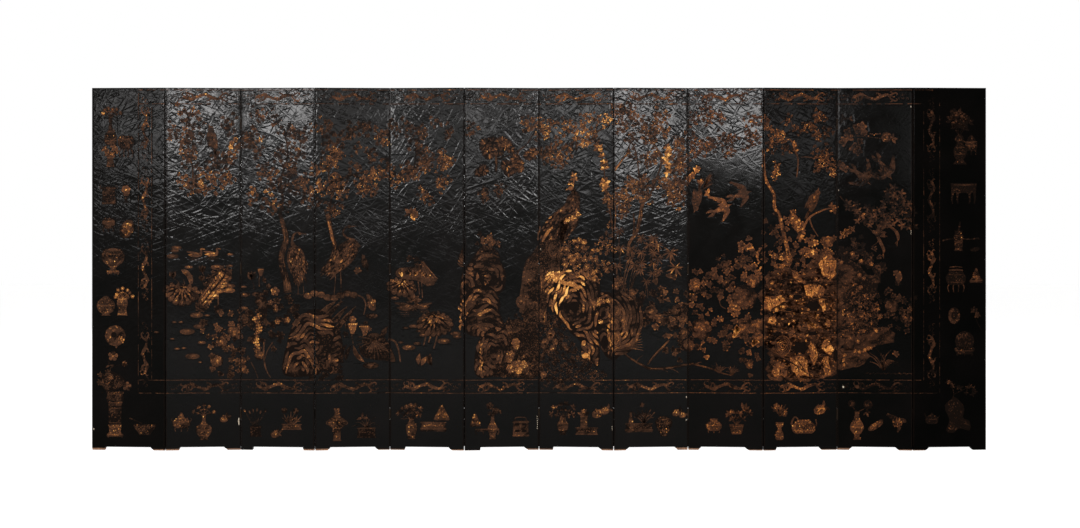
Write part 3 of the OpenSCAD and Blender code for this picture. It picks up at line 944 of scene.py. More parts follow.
def leaf_1():
    """The left column of antiques: vases, boxes, bowls, and a rock in a jar."""
    # bottle with blossom on a carved stand, and a lidded bowl
    vessel(113+1800j, [(0, 20), (14, 34), (42, 38), (72, 30), (92, 13), (150, 10), (176, 16)], 0.14,
           (30, 86), 0.4)
    stroke([121+1900j, 136+1885j, 128+1862j], [5, 4, 3], 0.5)
    posy(115+1972j, 66, 0.3, 6, 150, 0.7)
    for spot in (78+1775j, 98+1752j, 122+1748j, 146+1768j, 132+1788j):
        sprig(spot, 26, between(0, 360), 0.5, 5, 300, 0.5)
    vessel(112+1672j, [(0, 26), (12, 22), (50, 18), (66, 27)], 0.22, (8, 58))
    vessel(206+1778j, [(0, 30), (30, 47), (62, 46), (78, 36)], 0.24, (62,), 0.8)
    feet(206+1782j, 36, 52, 0.34, 4)
    # square vessel, flower in a cup, tripod, pod
    casket(102+1452j, 80, 104, 0.2)
    handles(102, (40+1540j, 54+1552j, 46+1566j), [5, 4, 3], 0.3)
    blossom(206+1538j, 56, 0.6, 6)
    vessel(206+1462j, [(0, 16), (12, 8), (34, 12), (52, 22)], 0.12, (46,), 0.2)
    vessel(100+1310j, [(0, 22), (18, 36), (42, 38), (56, 26), (60, 30)], 0.18, (44,), 0.6)
    feet(100+1318j, 28, 30, 0.24)
    inlay(put(spline([0.5, 0.3+0.3j, -0.2+0.34j, -0.5+0.1j, -0.4-0.24j, 0.1-0.3j], 3, True), 214+1308j,
              112, 58), 0.24)
    feathers(put(OVAL, 210+1300j, 34), 17, 50, 0.66, 0.34, 0.7)
    # footed bowl, lidded jar with a vase of flowers beside it
    vessel(128+1048j, [(0, 34), (8, 26), (26, 16), (44, 34), (70, 62), (108, 67), (134, 52), (142, 30)], 0.2,
           (38, 112, 134), 0.6)
    paint(put(OVAL, 128+1186j, 0.5) + 30 * (OVAL.real + 0.2j * OVAL.imag), 0.5, 0.36)
    low_table(128+1060j, 72, 22, 0.42)
    vessel(85+795j, [(0, 30), (10, 20), (26, 44), (60, 55), (88, 42), (104, 22), (114, 10)], 0.28,
           (60, 94), 0.9)
    vessel(184+795j, [(0, 32), (14, 28), (40, 24), (70, 33), (94, 28), (104, 34)], 0.34, (10, 66, 98), 0.8)
    posy(184+898j, 64, 0.44, 7, 170, 0.8)
    ring_dish(141+676j, 124)
    feathers(put(OVAL, 168+645j, 24), 18, 60, 0.62, 0.4, 0.6)
    stroke([150+620j, 146+604j], [16, 8], 0.4, 0.14, 2)
    # blossoms over a rock in a tall jar on its stand
    blossom(128+556j, 62, 0.42)
    stroke([118+452j, 112+484j, 150+498j, 190+508j], [5, 4, 3], 0.2)
    bud(184+500j, 34, 35, 0.42)
    sprig(108+500j, 30, 110, 0.14, 3)
    rock([56+398j, 60+440j, 108+462j, 168+440j, 196+400j, 150+358j, 92+350j],
         [[100+410j, 1, 0.8, 8], [165+400j, 1, 0.8, 0]], 0.3, 11)
    cluster(85+415j, 62, 0.42, 5)
    cluster(150+400j, 54, 0.2, 5)
    blossom(212+378j, 56, 0.42)
    vessel(140+262j, [(0, 36), (20, 44), (44, 50), (66, 46), (84, 54)], 0.36, (20, 70), 0.9)
    vessel(140+150j, [(0, 38), (50, 36), (92, 40), (112, 42)], 0.2, (14, 98), 0.7)
    vessel(140+80j, [(0, 47), (12, 42), (34, 34), (60, 38), (72, 42)], 0.4, (12, 60), 1.0)
    low_table(140+96j, 96, 20, 0.44)
    vessel(318+92j, [(0, 30), (16, 40), (44, 62), (62, 66)], 0.24, (50,), 0.9)
    stroke([228+190j, 262+176j, 300+160j], [7, 5, 5], 0.34, 0.3)


def leaf_2():
    """Pines over water with ducks and lotus, peonies below, and antiques in the foot row."""
    # brown foliage in the upper part, with a bird
    clumps([550+2000j, 600+1990j, 482+1890j, 505+1862j, 575+1880j, 565+1840j, 632+1945j, (800+1935j, -0.1),
            835+1950j, 815+1900j, (625+1840j, -0.15)], 66, 0.27)
    clumps([(545+1792j, 0.1), (585+1775j, 0.15), (600+1742j, 0.1), (560+1755j, 0.12),
            (612+1712j, 0.1)], 56, 0.3)
    bough([590+1500j, 600+1640j, 580+1760j, 560+1900j, 590+2010j], [9, 7, 4], 0.18, 46, 130, 40)
    bough([862+1730j, 800+1700j, 740+1690j, 700+1650j], [6, 5, 3], 0.2, 52, 60, 26)
    clumps([(838+1820j, 0.34), (850+1790j, 0.3), (835+1745j, 0.2), 780+1735j, 735+1715j], 62, 0.34)
    clumps([(545+1605j, 0.2), (575+1580j, 0.22), (672+1640j, 0.36), (690+1612j, 0.3), (736+1650j, 0.2),
        (795+1622j, 0.15), (815+1600j, 0.2), (570+1545j, 0.12), 640+1570j, 655+1545j, (735+1580j, 0.12),
        (765+1560j, 0.16)], 64, 0.36)
    perched(712+1836j, 160, 112, 0.24, -1)
    # two ducks and floating leaves
    duck(618+1157j, 100, 0.36)
    duck(712+1160j, 96, 0.42)
    for spot, width in ((505+1196j, 60), (495+1178j, 50), (482+1146j, 70), (818+1156j, 34), (575+1082j, 46),
            (740+1080j, 74), (812+1088j, 42), (816+970j, 62), (790+972j, 34), (622+798j, 78), (684+796j, 30),
            (492+757j, 26), (530+757j, 26), (635+731j, 64), (567+701j, 88), (389+698j, 30), (480+659j, 24),
            (508+600j, 32), (548+604j, 28), (598+555j, 84), (642+520j, 20)):
        pad(spot, width, vary(0.26, 0.09))
    for spot, width in ((750+940j, 66), (812+942j, 70), (652+636j, 46)):
        pad(spot, width, 0.4)
    # lotus
    lotus_bud(482+1018j, 520+985j, 42, 0.2)
    lotus_bud(655+1050j, 670+1000j, 44, 0.2)
    lotus_bud(650+1000j, 662+975j, 34, 0.18)
    stroke([532+1064j, 562+1052j, 588+1018j, 596+984j], [8, 26, 24, 6], 0.36, 0.16)
    for k in range(9):
        frond(540 + 6.4 * k + 1j * (1060 - 0.95 * k * k), 28, -60 - 6 * k, vary(0.42), 0.26, 1, 0.4)
    stroke([545+1010j, 552+980j], [5, 5], 0.2)
    lotus_leaf(534+930j, 196, 112, 0.4, -6)
    stroke([746+924j, 748+845j], [8, 5], 0.3)
    folded = spline([632+842j, 668+836j, 700+880j, 762+950j, 806+1008j, 812+1052j, 770+1068j, 716+1048j,
                     676+978j, 636+900j], 4, True)
    inlay(folded, 0.02, 0.14, 3)
    for k in range(26):
        start = 646+858j + (k * 5.6 + 1j * k * 6.9)
        for side in (-1, 1):
            for far, size, own in ((4, 24, 0.5), (24, 22, 0.34)):
                root = start + far * ray(50 + side * 62)
                shape = put(blade(0.34, 0.06 * side), root, size * between(0.8, 1.15),
                            50 + side * (34 + 1.1 * k))
                inlay(shape, vary(own + 0.006 * k, 0.18), 0.24, 1.1)
    for k in range(22):
        at = folded[(2 * k) % len(folded)]
        leaf(at, between(20, 30), heading(at - folded.mean()), 0.22, 0.16, 3)
    # peonies that carry on into the next leaf
    bush([786+828j, 700+765j, 745+770j, 692+702j, 780+742j, 838+700j, 730+640j, 770+640j, 826+640j, 760+590j,
          812+580j, 852+560j, 740+526j, 806+470j, 842+494j], 74, 0.34, 0.4)
    # antiques
    vessel(533+132j, [(0, 26), (16, 46), (38, 50), (54, 36), (62, 18), (76, 12), (90, 4)], 0.22,
           (40, 60), 0.8)
    feet(533+142j, 34, 30, 0.22)
    handles(533, (40+168j, 58+178j, 54+192j), [5, 4, 3], 0.24)
    vessel(664+62j, [(0, 26), (10, 20), (22, 30), (52, 45), (80, 40), (98, 14), (136, 10), (150, 16)], 0.26,
           (26, 60, 92), 0.8)
    posy(664+210j, 62, 0.3, 5, 150, 0.5)
    fruit(782+182j, 60, 0.32)


def leaf_3():
    """A crane under a tree, lotus pods, leaves before a rock, and antiques."""
    clumps([(975+1985j, 0.05), (1010+1975j, 0.1), 940+1870j, 985+1860j, (925+1840j, -0.1), 895+1810j,
        960+1790j, 990+1770j, 1170+1880j, 1195+1860j, (1235+1840j, 0.05), 1262+1860j, (1080+1960j, -0.15),
        (1105+1930j, -0.15)], 66, 0.27)
    clumps([1000+1640j, 1040+1660j, 1090+1620j, 1130+1600j, 1180+1700j, 1205+1600j, 1245+1575j, 1270+1610j,
        1060+1570j, (1120+1730j, -0.1), (1210+1760j, -0.1), (1265+1540j, 0.1), (1275+1500j, 0.1)], 62, 0.24)
    clumps([(948+1520j, 0.16), (960+1490j, 0.1), (1062+1490j, 0.2), (1040+1450j, 0.05),
            (1085+1430j, 0)], 62, 0.3)
    bough([1110+1380j, 1130+1480j, 1120+1600j, 1160+1740j, 1140+1900j], [16, 10, 5], 0.14, 50, 110, 46)
    bough([1130+1520j, 1190+1640j, 1230+1780j, 1270+1900j], [8, 6, 4], 0.14, 50, 100, 40)
    trunk([1113+1400j, 1141+1300j, 1150+1240j, 1124+1150j, 1130+1080j, 1152+1000j, 1162+930j],
          [20, 30, 34, 34, 40, 46], 0.2)
    # crane 1
    crane(1212+1118j, 190, 108, 98, [1198+1192j, 1187+1236j, 1196+1272j, 1216+1288j, 1230+1280j],
          [1222+926j, 1256+922j], 0.17)
    crane_head(1232+1280j, -4)
    feathers(put(OVAL.real * 0.4 + 1j * OVAL.imag, 1264+1090j, 40), 14, -88, 0.44, 0.42, 0.34)
    # lotus pods, pads, flowers
    lotus_bud(944+1005j, 958+950j, 52, 0.26)
    lotus_pod(999+1048j, 990+968j, 40, 0.42)
    sprig(1010+1000j, 30, 20, 0.26, 4, 120)
    for spot, width in ((898+964j, 34), (905+918j, 60), (980+920j, 66), (1032+940j, 34), (896+838j, 54)):
        pad(spot, width, vary(0.26, 0.08))
    blossom(1085+938j, 56, 0.5)
    blossom(1046+968j, 30, 0.34)
    # leaves and gilt blossoms before the rock
    bush([898+770j, 925+700j, 890+640j, 940+620j, 1000+690j, 1050+700j, 1060+770j, 1020+820j, 1075+850j,
        1120+800j, 1110+720j, 950+830j, 1090+640j, 1140+640j, 1150+860j, 1180+830j, 1000+880j, 1180+780j],
        82, 0.19, 0.16)
    for k in range(13):
        blossom(975 + between(-16, 16) + 1j * (790 - 17 * k), between(26, 38), vary(0.6, 0.12), 4, 0.5)
    for spot in (1058+872j, 1086+846j, 1088+830j, 1160+770j, 1100+760j):
        blossom(spot, 34, 0.58, 5, 0.5)
    stroke([1020+640j, 1016+560j, 1030+480j, 1058+428j], [10, 9, 8, 5], 0.34, 0.2)
    stroke([1072+640j, 1040+590j, 1024+540j], [8, 6, 5], 0.24, 0.2)
    stroke([940+520j, 966+470j, 982+425j], [6, 5, 4], 0.2, 0.2)
    bush([990+560j, 886+525j, 890+478j, 880+560j], 56, 0.4, 0.5, 3)
    # antiques
    brushes(965+120j, 118, 0.3)
    vessel(968+80j, [(0, 36), (10, 30), (40, 30), (62, 36)], 0.12, (56,))
    coral(1180+140j, 96, 0.4, 7)
    blossom(1140+236j, 36, 0.16)
    blossom(1208+232j, 36, 0.16)
    casket(1184+122j, 112, 34)
    fruit(1085+92j, 62, 0.3)


def leaf_4():
    """The second crane on its ledge, rocks in bands, folded lotus leaves, and antiques."""
    clumps([(1326+1901j, 0.3), (1387+1935j, 0.2), 1400+1890j, 1395+1860j, 1530+1890j, 1520+1860j, 1560+1910j,
        1640+1912j, 1615+1890j, 1390+1800j, 1430+1815j, 1460+1790j, 1420+1765j, 1565+1775j, 1650+1755j,
        1660+1730j], 62, 0.24)
    clumps([(1722+1850j, 0.3), (1720+1825j, 0.3), (1700+1870j, 0.1), (1400+1715j, 0.05), (1440+1730j, 0.1),
        (1470+1740j, 0.1), (1402+1690j, 0.1), (1438+1680j, 0.32), (1326+1660j, 0.34), (1340+1655j, 0.2),
        (1560+1670j, -0.1)], 56, 0.32)
    clumps([(1640+1612j, 0.3), (1662+1625j, 0.2), (1690+1622j, 0.3), (1720+1640j, 0.15), (1740+1640j, 0.1),
        (1330+1550j, 0.36), (1360+1560j, 0.3), (1370+1540j, 0.3), (1430+1580j, 0.2), (1462+1560j, 0.3),
        (1465+1525j, 0.36), (1495+1520j, 0.32), (1440+1610j, 0), (1575+1555j, 0.3), (1600+1545j, 0.2),
        (1600+1580j, 0.1), (1645+1560j, 0.02), (1670+1530j, 0.05), (1620+1530j, 0)], 54, 0.34)
    clumps([(1455+1418j, 0.34), (1400+1420j, -0.05), (1330+1480j, -0.1), (1315+1460j, -0.1)], 54, 0.3)
    bough([1404+1380j, 1420+1500j, 1480+1600j, 1600+1640j, 1740+1660j], [12, 8, 4], 0.16, 46, 90, 30)
    bough([1420+1500j, 1400+1640j, 1430+1780j, 1540+1880j, 1660+1920j], [8, 6, 3], 0.14, 46, 110, 34)
    trunk([1396+1400j, 1404+1340j, 1416+1280j, 1436+1210j, 1424+1150j], [30, 24, 22, 24, 18], 0.3)
    stroke([1397+1352j, 1412+1300j, 1420+1256j, 1433+1212j], [8, 14, 16, 6], 0.72, 0.34)
    # crane 2
    crane(1488+1150j, 226, 122, 47, [1572+1194j, 1548+1240j, 1506+1256j, 1484+1284j, 1496+1312j, 1516+1322j],
          [1430+892j, 1472+878j], 0.2)
    crane_head(1520+1321j, 4)
    perched(1612+1108j, 92, 118, 0.26, -1, 0.6)
    leaf(1578+1048j, 46, 120, 0.34)
    # ledge the crane stands on
    for k in range(8):
        at = 1280 + 38 * k + 1j * (912 + 14 * math.sin(k * 1.3))
        inlay(put(spline([0.6, 0.3+0.42j, -0.3+0.4j, -0.6, -0.3-0.4j, 0.4-0.36j], 3, True), at, 40,
                  between(-16, 16)), vary(0.28, 0.06), 0.16)
        for m in range(3):
            stroke([at - 14 + 1j * (10 - 9 * m), at + 12 + 1j * (13 - 9 * m)], [2, 3.5, 1.5],
                   vary(0.4, 0.1), 0.3, 3)
    stroke([1562+918j, 1600+900j, 1618+860j, 1606+800j], [9, 8, 8, 5], 0.4)
    inlay(spline([1622+922j, 1650+908j, 1676+862j, 1668+824j, 1640+836j, 1630+880j], 4, True), 0.3, 0.2)
    feathers(put(OVAL, 1655+862j, 26), 22, 110, 0.38, 0.34)
    pad(1652+793j, 72, 0.2)
    # rock across two leaves
    rock([1168+560j, 1164+650j, 1196+740j, 1262+806j, 1336+832j, 1410+792j, 1462+700j, 1480+600j, 1450+500j,
        1380+470j, 1300+500j], [[1318+606j, 1.12, 1.0, 0], [1446+520j, 0.7, 1.3, 0]], 0.3, 24, -0.2,
        thick=0.8, gold=0.12, sun=0.06j)
    rock([1146+446j, 1140+560j, 1172+632j, 1232+664j, 1294+632j, 1330+560j, 1346+470j, 1310+446j],
         [[1236+462j, 0.85, 1.2, 12]], 0.34, 24, -0.2, lift=0.3, thick=0.8, gold=0.14, sun=0.05+0.05j)
    for a, b in ((1370+800j, 1480+880j), (1400+760j, 1510+850j), (1440+740j, 1560+850j),
                 (1350+830j, 1440+880j)):
        stroke([a - 30j, a * 0.5 + b * 0.5 - 16j, b], [34, 26, 6], vary(0.1, 0.04))
        stroke([a - 10j, a * 0.5 + b * 0.5 + 2j, b], [4, 5, 2], 0.26, 0.3)
    for k in range(9):
        dab(1236 + 9 * k + 1j * (566 - 6 * k + 5 * (k % 3)), 30, -28, vary(0.6, 0.12), 0.46, 0.3, 0.15)
    # lotus pods in gold, dark folded leaf, grasses
    lotus_pod(1540+716j, 1544+630j, 58, 0.62)
    blossom(1540+772j, 44, 0.5, 6, 0.34)
    cluster(1490+730j, 60, 0.14, 5)
    lotus_pod(1612+704j, 1600+640j, 54, 0.5)
    cluster(1628+720j, 52, 0.3, 4)
    shape = spline([1604+600j, 1622+672j, 1680+690j, 1738+650j, 1770+590j, 1790+524j, 1730+530j, 1668+536j,
                    1612+560j], 4, True)
    inlay(shape, 0.16, 0.14, 3)
    for k in range(13):
        turn = -96 - 13 * k + 60
        stroke([1668+652j, 1668+652j + 60 * ray(turn), 1672+642j + 110 * ray(turn - 3)],
               [3, 7, 3], vary(0.27, 0.06), 0.22)
    stroke([1750+655j, 1790+640j, 1812+586j, 1822+520j], [12, 11, 10, 8], 0.3, 0.2)
    frond(1714+652j, 86, 66, 0.16, 0.18, 2.5, 0.34, 0.1)
    for k, (at, turn, own) in enumerate([(1460+540j, 60, 0.14), (1500+530j, 70, 0.16), (1480+520j, 84, 0.12),
            (1610+520j, 128, 0.6), (1586+536j, 116, 0.46), (1632+540j, 122, 0.22)]):
        frond(at, 96, turn, own, 0.24, 2.5, 0.26, 0.08)
    pad(1647+500j, 92, 0.2)
    bush([1330+500j, 1390+480j, 1450+500j, 1350+455j, 1420+450j, 1480+460j, 1295+470j], 66, 0.14, 0.3)
    # antiques
    vessel(1449+56j, [(0, 26), (8, 22), (40, 22), (72, 24), (96, 50), (124, 46), (146, 20), (166, 12),
                      (184, 17), (192, 15)], 0.32, (30, 76, 130, 160), 0.9)
    handles(1449, (46+150j, 62+160j, 50+178j), [6, 5, 4], 0.34)
    grass(1622+134j, 86, 0.26, 9, 170)
    sprig(1600+190j, 36, 100, 0.34, 3)
    casket(1622+72j, 104, 62, 0.2)


def leaf_5():
    """Blossom over lotus leaves with two mandarin ducks, and antiques."""
    clumps([(1772+1912j, 0.1), (1790+1880j, 0), 1860+1920j, 1880+1900j, 1930+1862j, 1950+1850j, 1940+1890j,
            2035+1935j, (2114+1890j, 0.05), (2116+1866j, 0.15)], 56, 0.22)
    clumps([1930+1775j, 1975+1775j, 1960+1745j, (1972+1715j, 0.1), (1950+1680j, 0.24), (1975+1668j, 0.12),
        (1990+1700j, 0.1), (2080+1750j, 0.05), (2096+1715j, 0.16), (2110+1700j, 0.2), (2080+1690j, 0.14),
        (2130+1700j, 0.05), (2060+1670j, 0)], 48, 0.3)
    clumps([(1850+1650j, 0.2), (1880+1655j, 0.2), (1910+1640j, 0.25), (1870+1620j, 0.25), (1900+1615j, 0.1),
        (1770+1650j, 0.3), (1788+1592j, 0.42), (1805+1588j, 0.36), (2069+1575j, 0.34), (2060+1560j, 0.3),
        (2096+1600j, 0.05), (1950+1515j, 0), (1980+1500j, 0.12), (1995+1480j, 0)], 52, 0.32)
    sprig(1885+1395j, 48, 60, 0.42, 6, 260, 0.5)
    leaf(1895+1385j, 50, 40, 0.46)
    bough([1750+1600j, 1850+1640j, 1960+1690j, 2090+1740j], [8, 6, 3], 0.16, 46, 90, 26)
    bough([1900+1640j, 1920+1780j, 1940+1900j], [6, 4], 0.12, 46, 100, 30)
    # lotus leaves
    cluster(1905+1085j, 80, 0.24, 5)
    folded = spline([1798+1030j, 1810+1070j, 1870+1080j, 1950+1082j, 1990+1060j, 2036+1010j, 1990+968j,
                     1930+1000j, 1860+1010j], 4, True)
    inlay(folded, 0.22, 0.12, 3)
    for k in range(24):
        spot = 1815 + 8.6 * k + 1j * (1060 + 8 * math.sin(k * 2.2) - 0.9 * max(k - 15, 0) ** 1.6)
        frond(spot, between(22, 36), between(-130, -50), vary(0.5, 0.2), 0.24, 1.2, 0.5)
    inlay([1942+1122j, 1960+1116j, 2042+1010j, 2020+975j, 1978+968j], 0.26, 0.2)
    for k in range(7):
        stroke([1948+1114j, 1985+1050j + 8 * (k - 3), 2008+1000j + 12 * (k - 3) + 4j * abs(k - 3)],
               [2, 4, 3], vary(0.4, 0.14), 0.34)
    lotus_leaf(1832+968j, 164, 96, 0.42, -8, 13)
    stroke([1928+1000j, 1936+920j], [7, 6], 0.22)
    stroke([1948+990j, 1954+900j], [7, 6], 0.24)
    # two mandarin ducks among dark leaves
    duck(1868+846j, 150, 0.2)
    duck(1950+852j, 110, 0.2, -1)
    sprig(1900+880j, 52, 100, 0.18, 6, 180, 0.4)
    pad(1790+898j, 46, 0.22)
    # drooping lotus leaf with its stalks
    for bottom, top in ((1960+620j, 1972+720j), (1990+636j, 2006+740j), (2020+600j, 2046+740j)):
        stroke(bent(top, bottom, 6), [10, 9, 7], 0.4, 0.12)
    lotus_leaf(2026+755j, 196, 130, 0.44, 0, 17)
    for spot, width, own in ((1900+732j, 54, 0.3), (1852+722j, 34, 0.2), (1931+703j, 30, 0.32),
            (1955+680j, 44, 0.3), (1825+636j, 30, 0.2), (1922+630j, 42, 0.3), (1872+606j, 80, 0.24),
            (2080+645j, 80, 0.32), (2150+690j, 60, 0.22), (2160+672j, 50, 0.2)):
        pad(spot, width, own)
    for at, turn, own in ((1946+500j, 56, 0.6), (1930+505j, 84, 0.5), (2010+502j, 118, 0.2),
                          (2002+505j, 92, 0.18)):
        frond(at, 66, turn, own, 0.2, 2.5, 0.42, 0.06)
    # antiques
    vessel(1888+66j, [(0, 24), (8, 19), (46, 30), (78, 32), (92, 20), (110, 14), (126, 20)], 0.26,
           (22, 84, 116), 0.8)
    posy(1888+188j, 84, 0.26, 7, 130, 0.2)
    blossom(1884+262j, 34, 0.36)
    stroke([1888+196j, 1850+184j, 1822+186j], [4, 3, 2], 0.24)
    stone_chime(2068+178j, 96, 88, 0.28)
    casket(2018+126j, 146, 42, 0.28)
    low_table(2018+128j, 152, 18, 0.24)


def leaf_6():
    """Pine pads over a tall rock and a speckled thicket, and antiques."""
    clumps([2235+1905j, 2250+1890j, (2560+1925j, 0), (2596+1935j, 0.34), (2600+1915j, 0.3)], 60, 0.26)
    for spot, size, own in ((2330+1800j, 100, 0.16), (2365+1815j, 90, 0.2), (2345+1760j, 96, 0.16),
            (2420+1815j, 84, 0.26), (2448+1805j, 78, 0.4), (2400+1770j, 84, 0.22), (2470+1780j, 60, 0.2),
            (2310+1655j, 76, 0.26), (2285+1640j, 60, 0.2), (2450+1680j, 80, 0.26), (2485+1665j, 76, 0.26),
            (2520+1690j, 72, 0.4), (2525+1665j, 60, 0.5), (2500+1720j, 70, 0.3), (2580+1740j, 70, 0.3),
            (2604+1760j, 66, 0.46), (2460+1640j, 60, 0.2)):
        pine_fan(spot, size * 0.92, own - 0.06)
    trunk([2384+1640j, 2388+1700j, 2380+1770j], [10, 14, 10], 0.18)
    bough([2388+1720j, 2460+1740j, 2560+1800j, 2625+1900j], [6, 5, 3], 0.16, 30, 200, 20)
    clumps([2400+1535j, 2420+1545j, 2325+1500j, 2310+1520j], 54, 0.2)
    # tall rock
    rock([2190+860j, 2180+960j, 2196+1060j, 2240+1120j, 2290+1190j, 2340+1206j, 2396+1170j, 2412+1110j,
          2440+1050j, 2432+960j, 2380+900j, 2360+850j, 2270+840j],
         [[2336+1016j, 1.05, 1.0, 0], [2210+960j, 0.8, 1.4, 14]], 0.3, 24, -0.1, thick=0.84, gold=0.12,
         sun=0.1j)
    bush([2318+1264j, 2346+1250j, 2296+1232j, 2330+1222j, 2362+1226j, 2384+1200j, 2300+1196j], 50, 0.36, 0.3)
    for k in range(7):
        frond(2200 + 12j * k + 1085j, 46, 150 - 9 * k, 0.26, 0.2, 1.5, 0.24, 0.1)
    for k in range(9):
        dab(2330+1005j + complex(*rng.normal(0, 14, 2)), 15, between(0, 360), vary(0.48, 0.1), 0.44, 0.5)
    rock([2196+790j, 2188+880j, 2230+948j, 2300+974j, 2370+948j, 2402+890j, 2400+830j, 2330+790j],
         [[2300+800j, 1.05, 1.0, 0]], 0.26, 25, -0.1, lift=0.3, thick=0.84, gold=0.1, sun=0.1j)
    rock([2222+690j, 2214+770j, 2250+838j, 2318+866j, 2384+838j, 2422+770j, 2440+690j, 2330+670j],
         [[2320+680j, 1.05, 1.0, 0]], 0.24, 26, -0.1, lift=0.44, thick=0.84, gold=0.1)
    for k in range(20):
        dab(2186 + between(-16, 26) + 1j * (870 - 8.5 * k), between(18, 30), between(60, 120),
            vary(0.62, 0.14), 0.46, 0.45, 0.1)
    rock([2270+450j, 2264+560j, 2288+650j, 2338+710j, 2400+730j, 2454+690j, 2448+600j, 2420+520j, 2360+440j],
        [[2372+560j, 0.85, 1.15, 0], [2310+450j, 0.8, 1.2, 0]], 0.26, 24, -0.1, lift=0.56, thick=0.84,
        gold=0.14, sun=-0.1)
    for k in range(18):
        dab(2296 + between(-9, 12) + 1j * (628 - 9.5 * k), between(18, 28), between(60, 120),
            vary(0.66, 0.12), 0.8, 0.4, 0.1)
    for k in range(7):
        dab(2352 + 8 * k + 1j * (590 + 6 * (k % 2)), 26, 30, vary(0.6, 0.12), 0.46, 0.4, 0.2)
    # speckled thicket with gilt flowers
    thicket = [2330+450j, 2340+560j, 2420+700j, 2480+770j, 2560+760j, 2628+700j, 2630+440j, 2480+432j]
    paint(spline(thicket, 5, True), 0.02, 0.05)
    for spot in scattered(thicket, 44):
        cluster(spot, 40, 0.06, 3)
    for spot in scattered(thicket, 13):
        paint(put(ROUND, spot, between(1.2, 2.4)), vary(0.26, 0.1), 0.5)
    for spot, size in ((2503+636j, 54), (2506+612j, 40), (2471+562j, 58), (2465+535j, 44), (2513+499j, 72),
                       (2474+484j, 58), (2545+505j, 52), (2520+470j, 44)):
        blossom(spot, size, vary(0.5, 0.06), 6, 0.5)
        for k in range(12):
            paint(put(ROUND, spot + 0.4 * size * math.sqrt((k + 0.5) / 12) * np.exp(2.4j * k), 2.6),
                  vary(0.7, 0.1), 0.66)
    # antiques
    stone_chime(2264+142j, 64, 76, 0.28)
    low_table(2334+128j, 140, 36, 0.24)
    vessel(2366+66j, [(0, 20), (10, 16), (34, 20), (58, 30), (80, 24), (104, 11), (132, 9)], 0.3,
           (20, 62, 90), 0.9)
    coral(2366+196j, 50, 0.2)
    blossom(2350+262j, 44, 0.28)
    blossom(2384+236j, 40, 0.2)
    blossom(2410+226j, 22, 0.3)
    casket(2532+80j, 92, 92, 0.3, 4)
    stroke([2498+174j, 2504+192j, 2558+192j, 2566+174j], [5, 5, 5], 0.24, 0.14, 3)


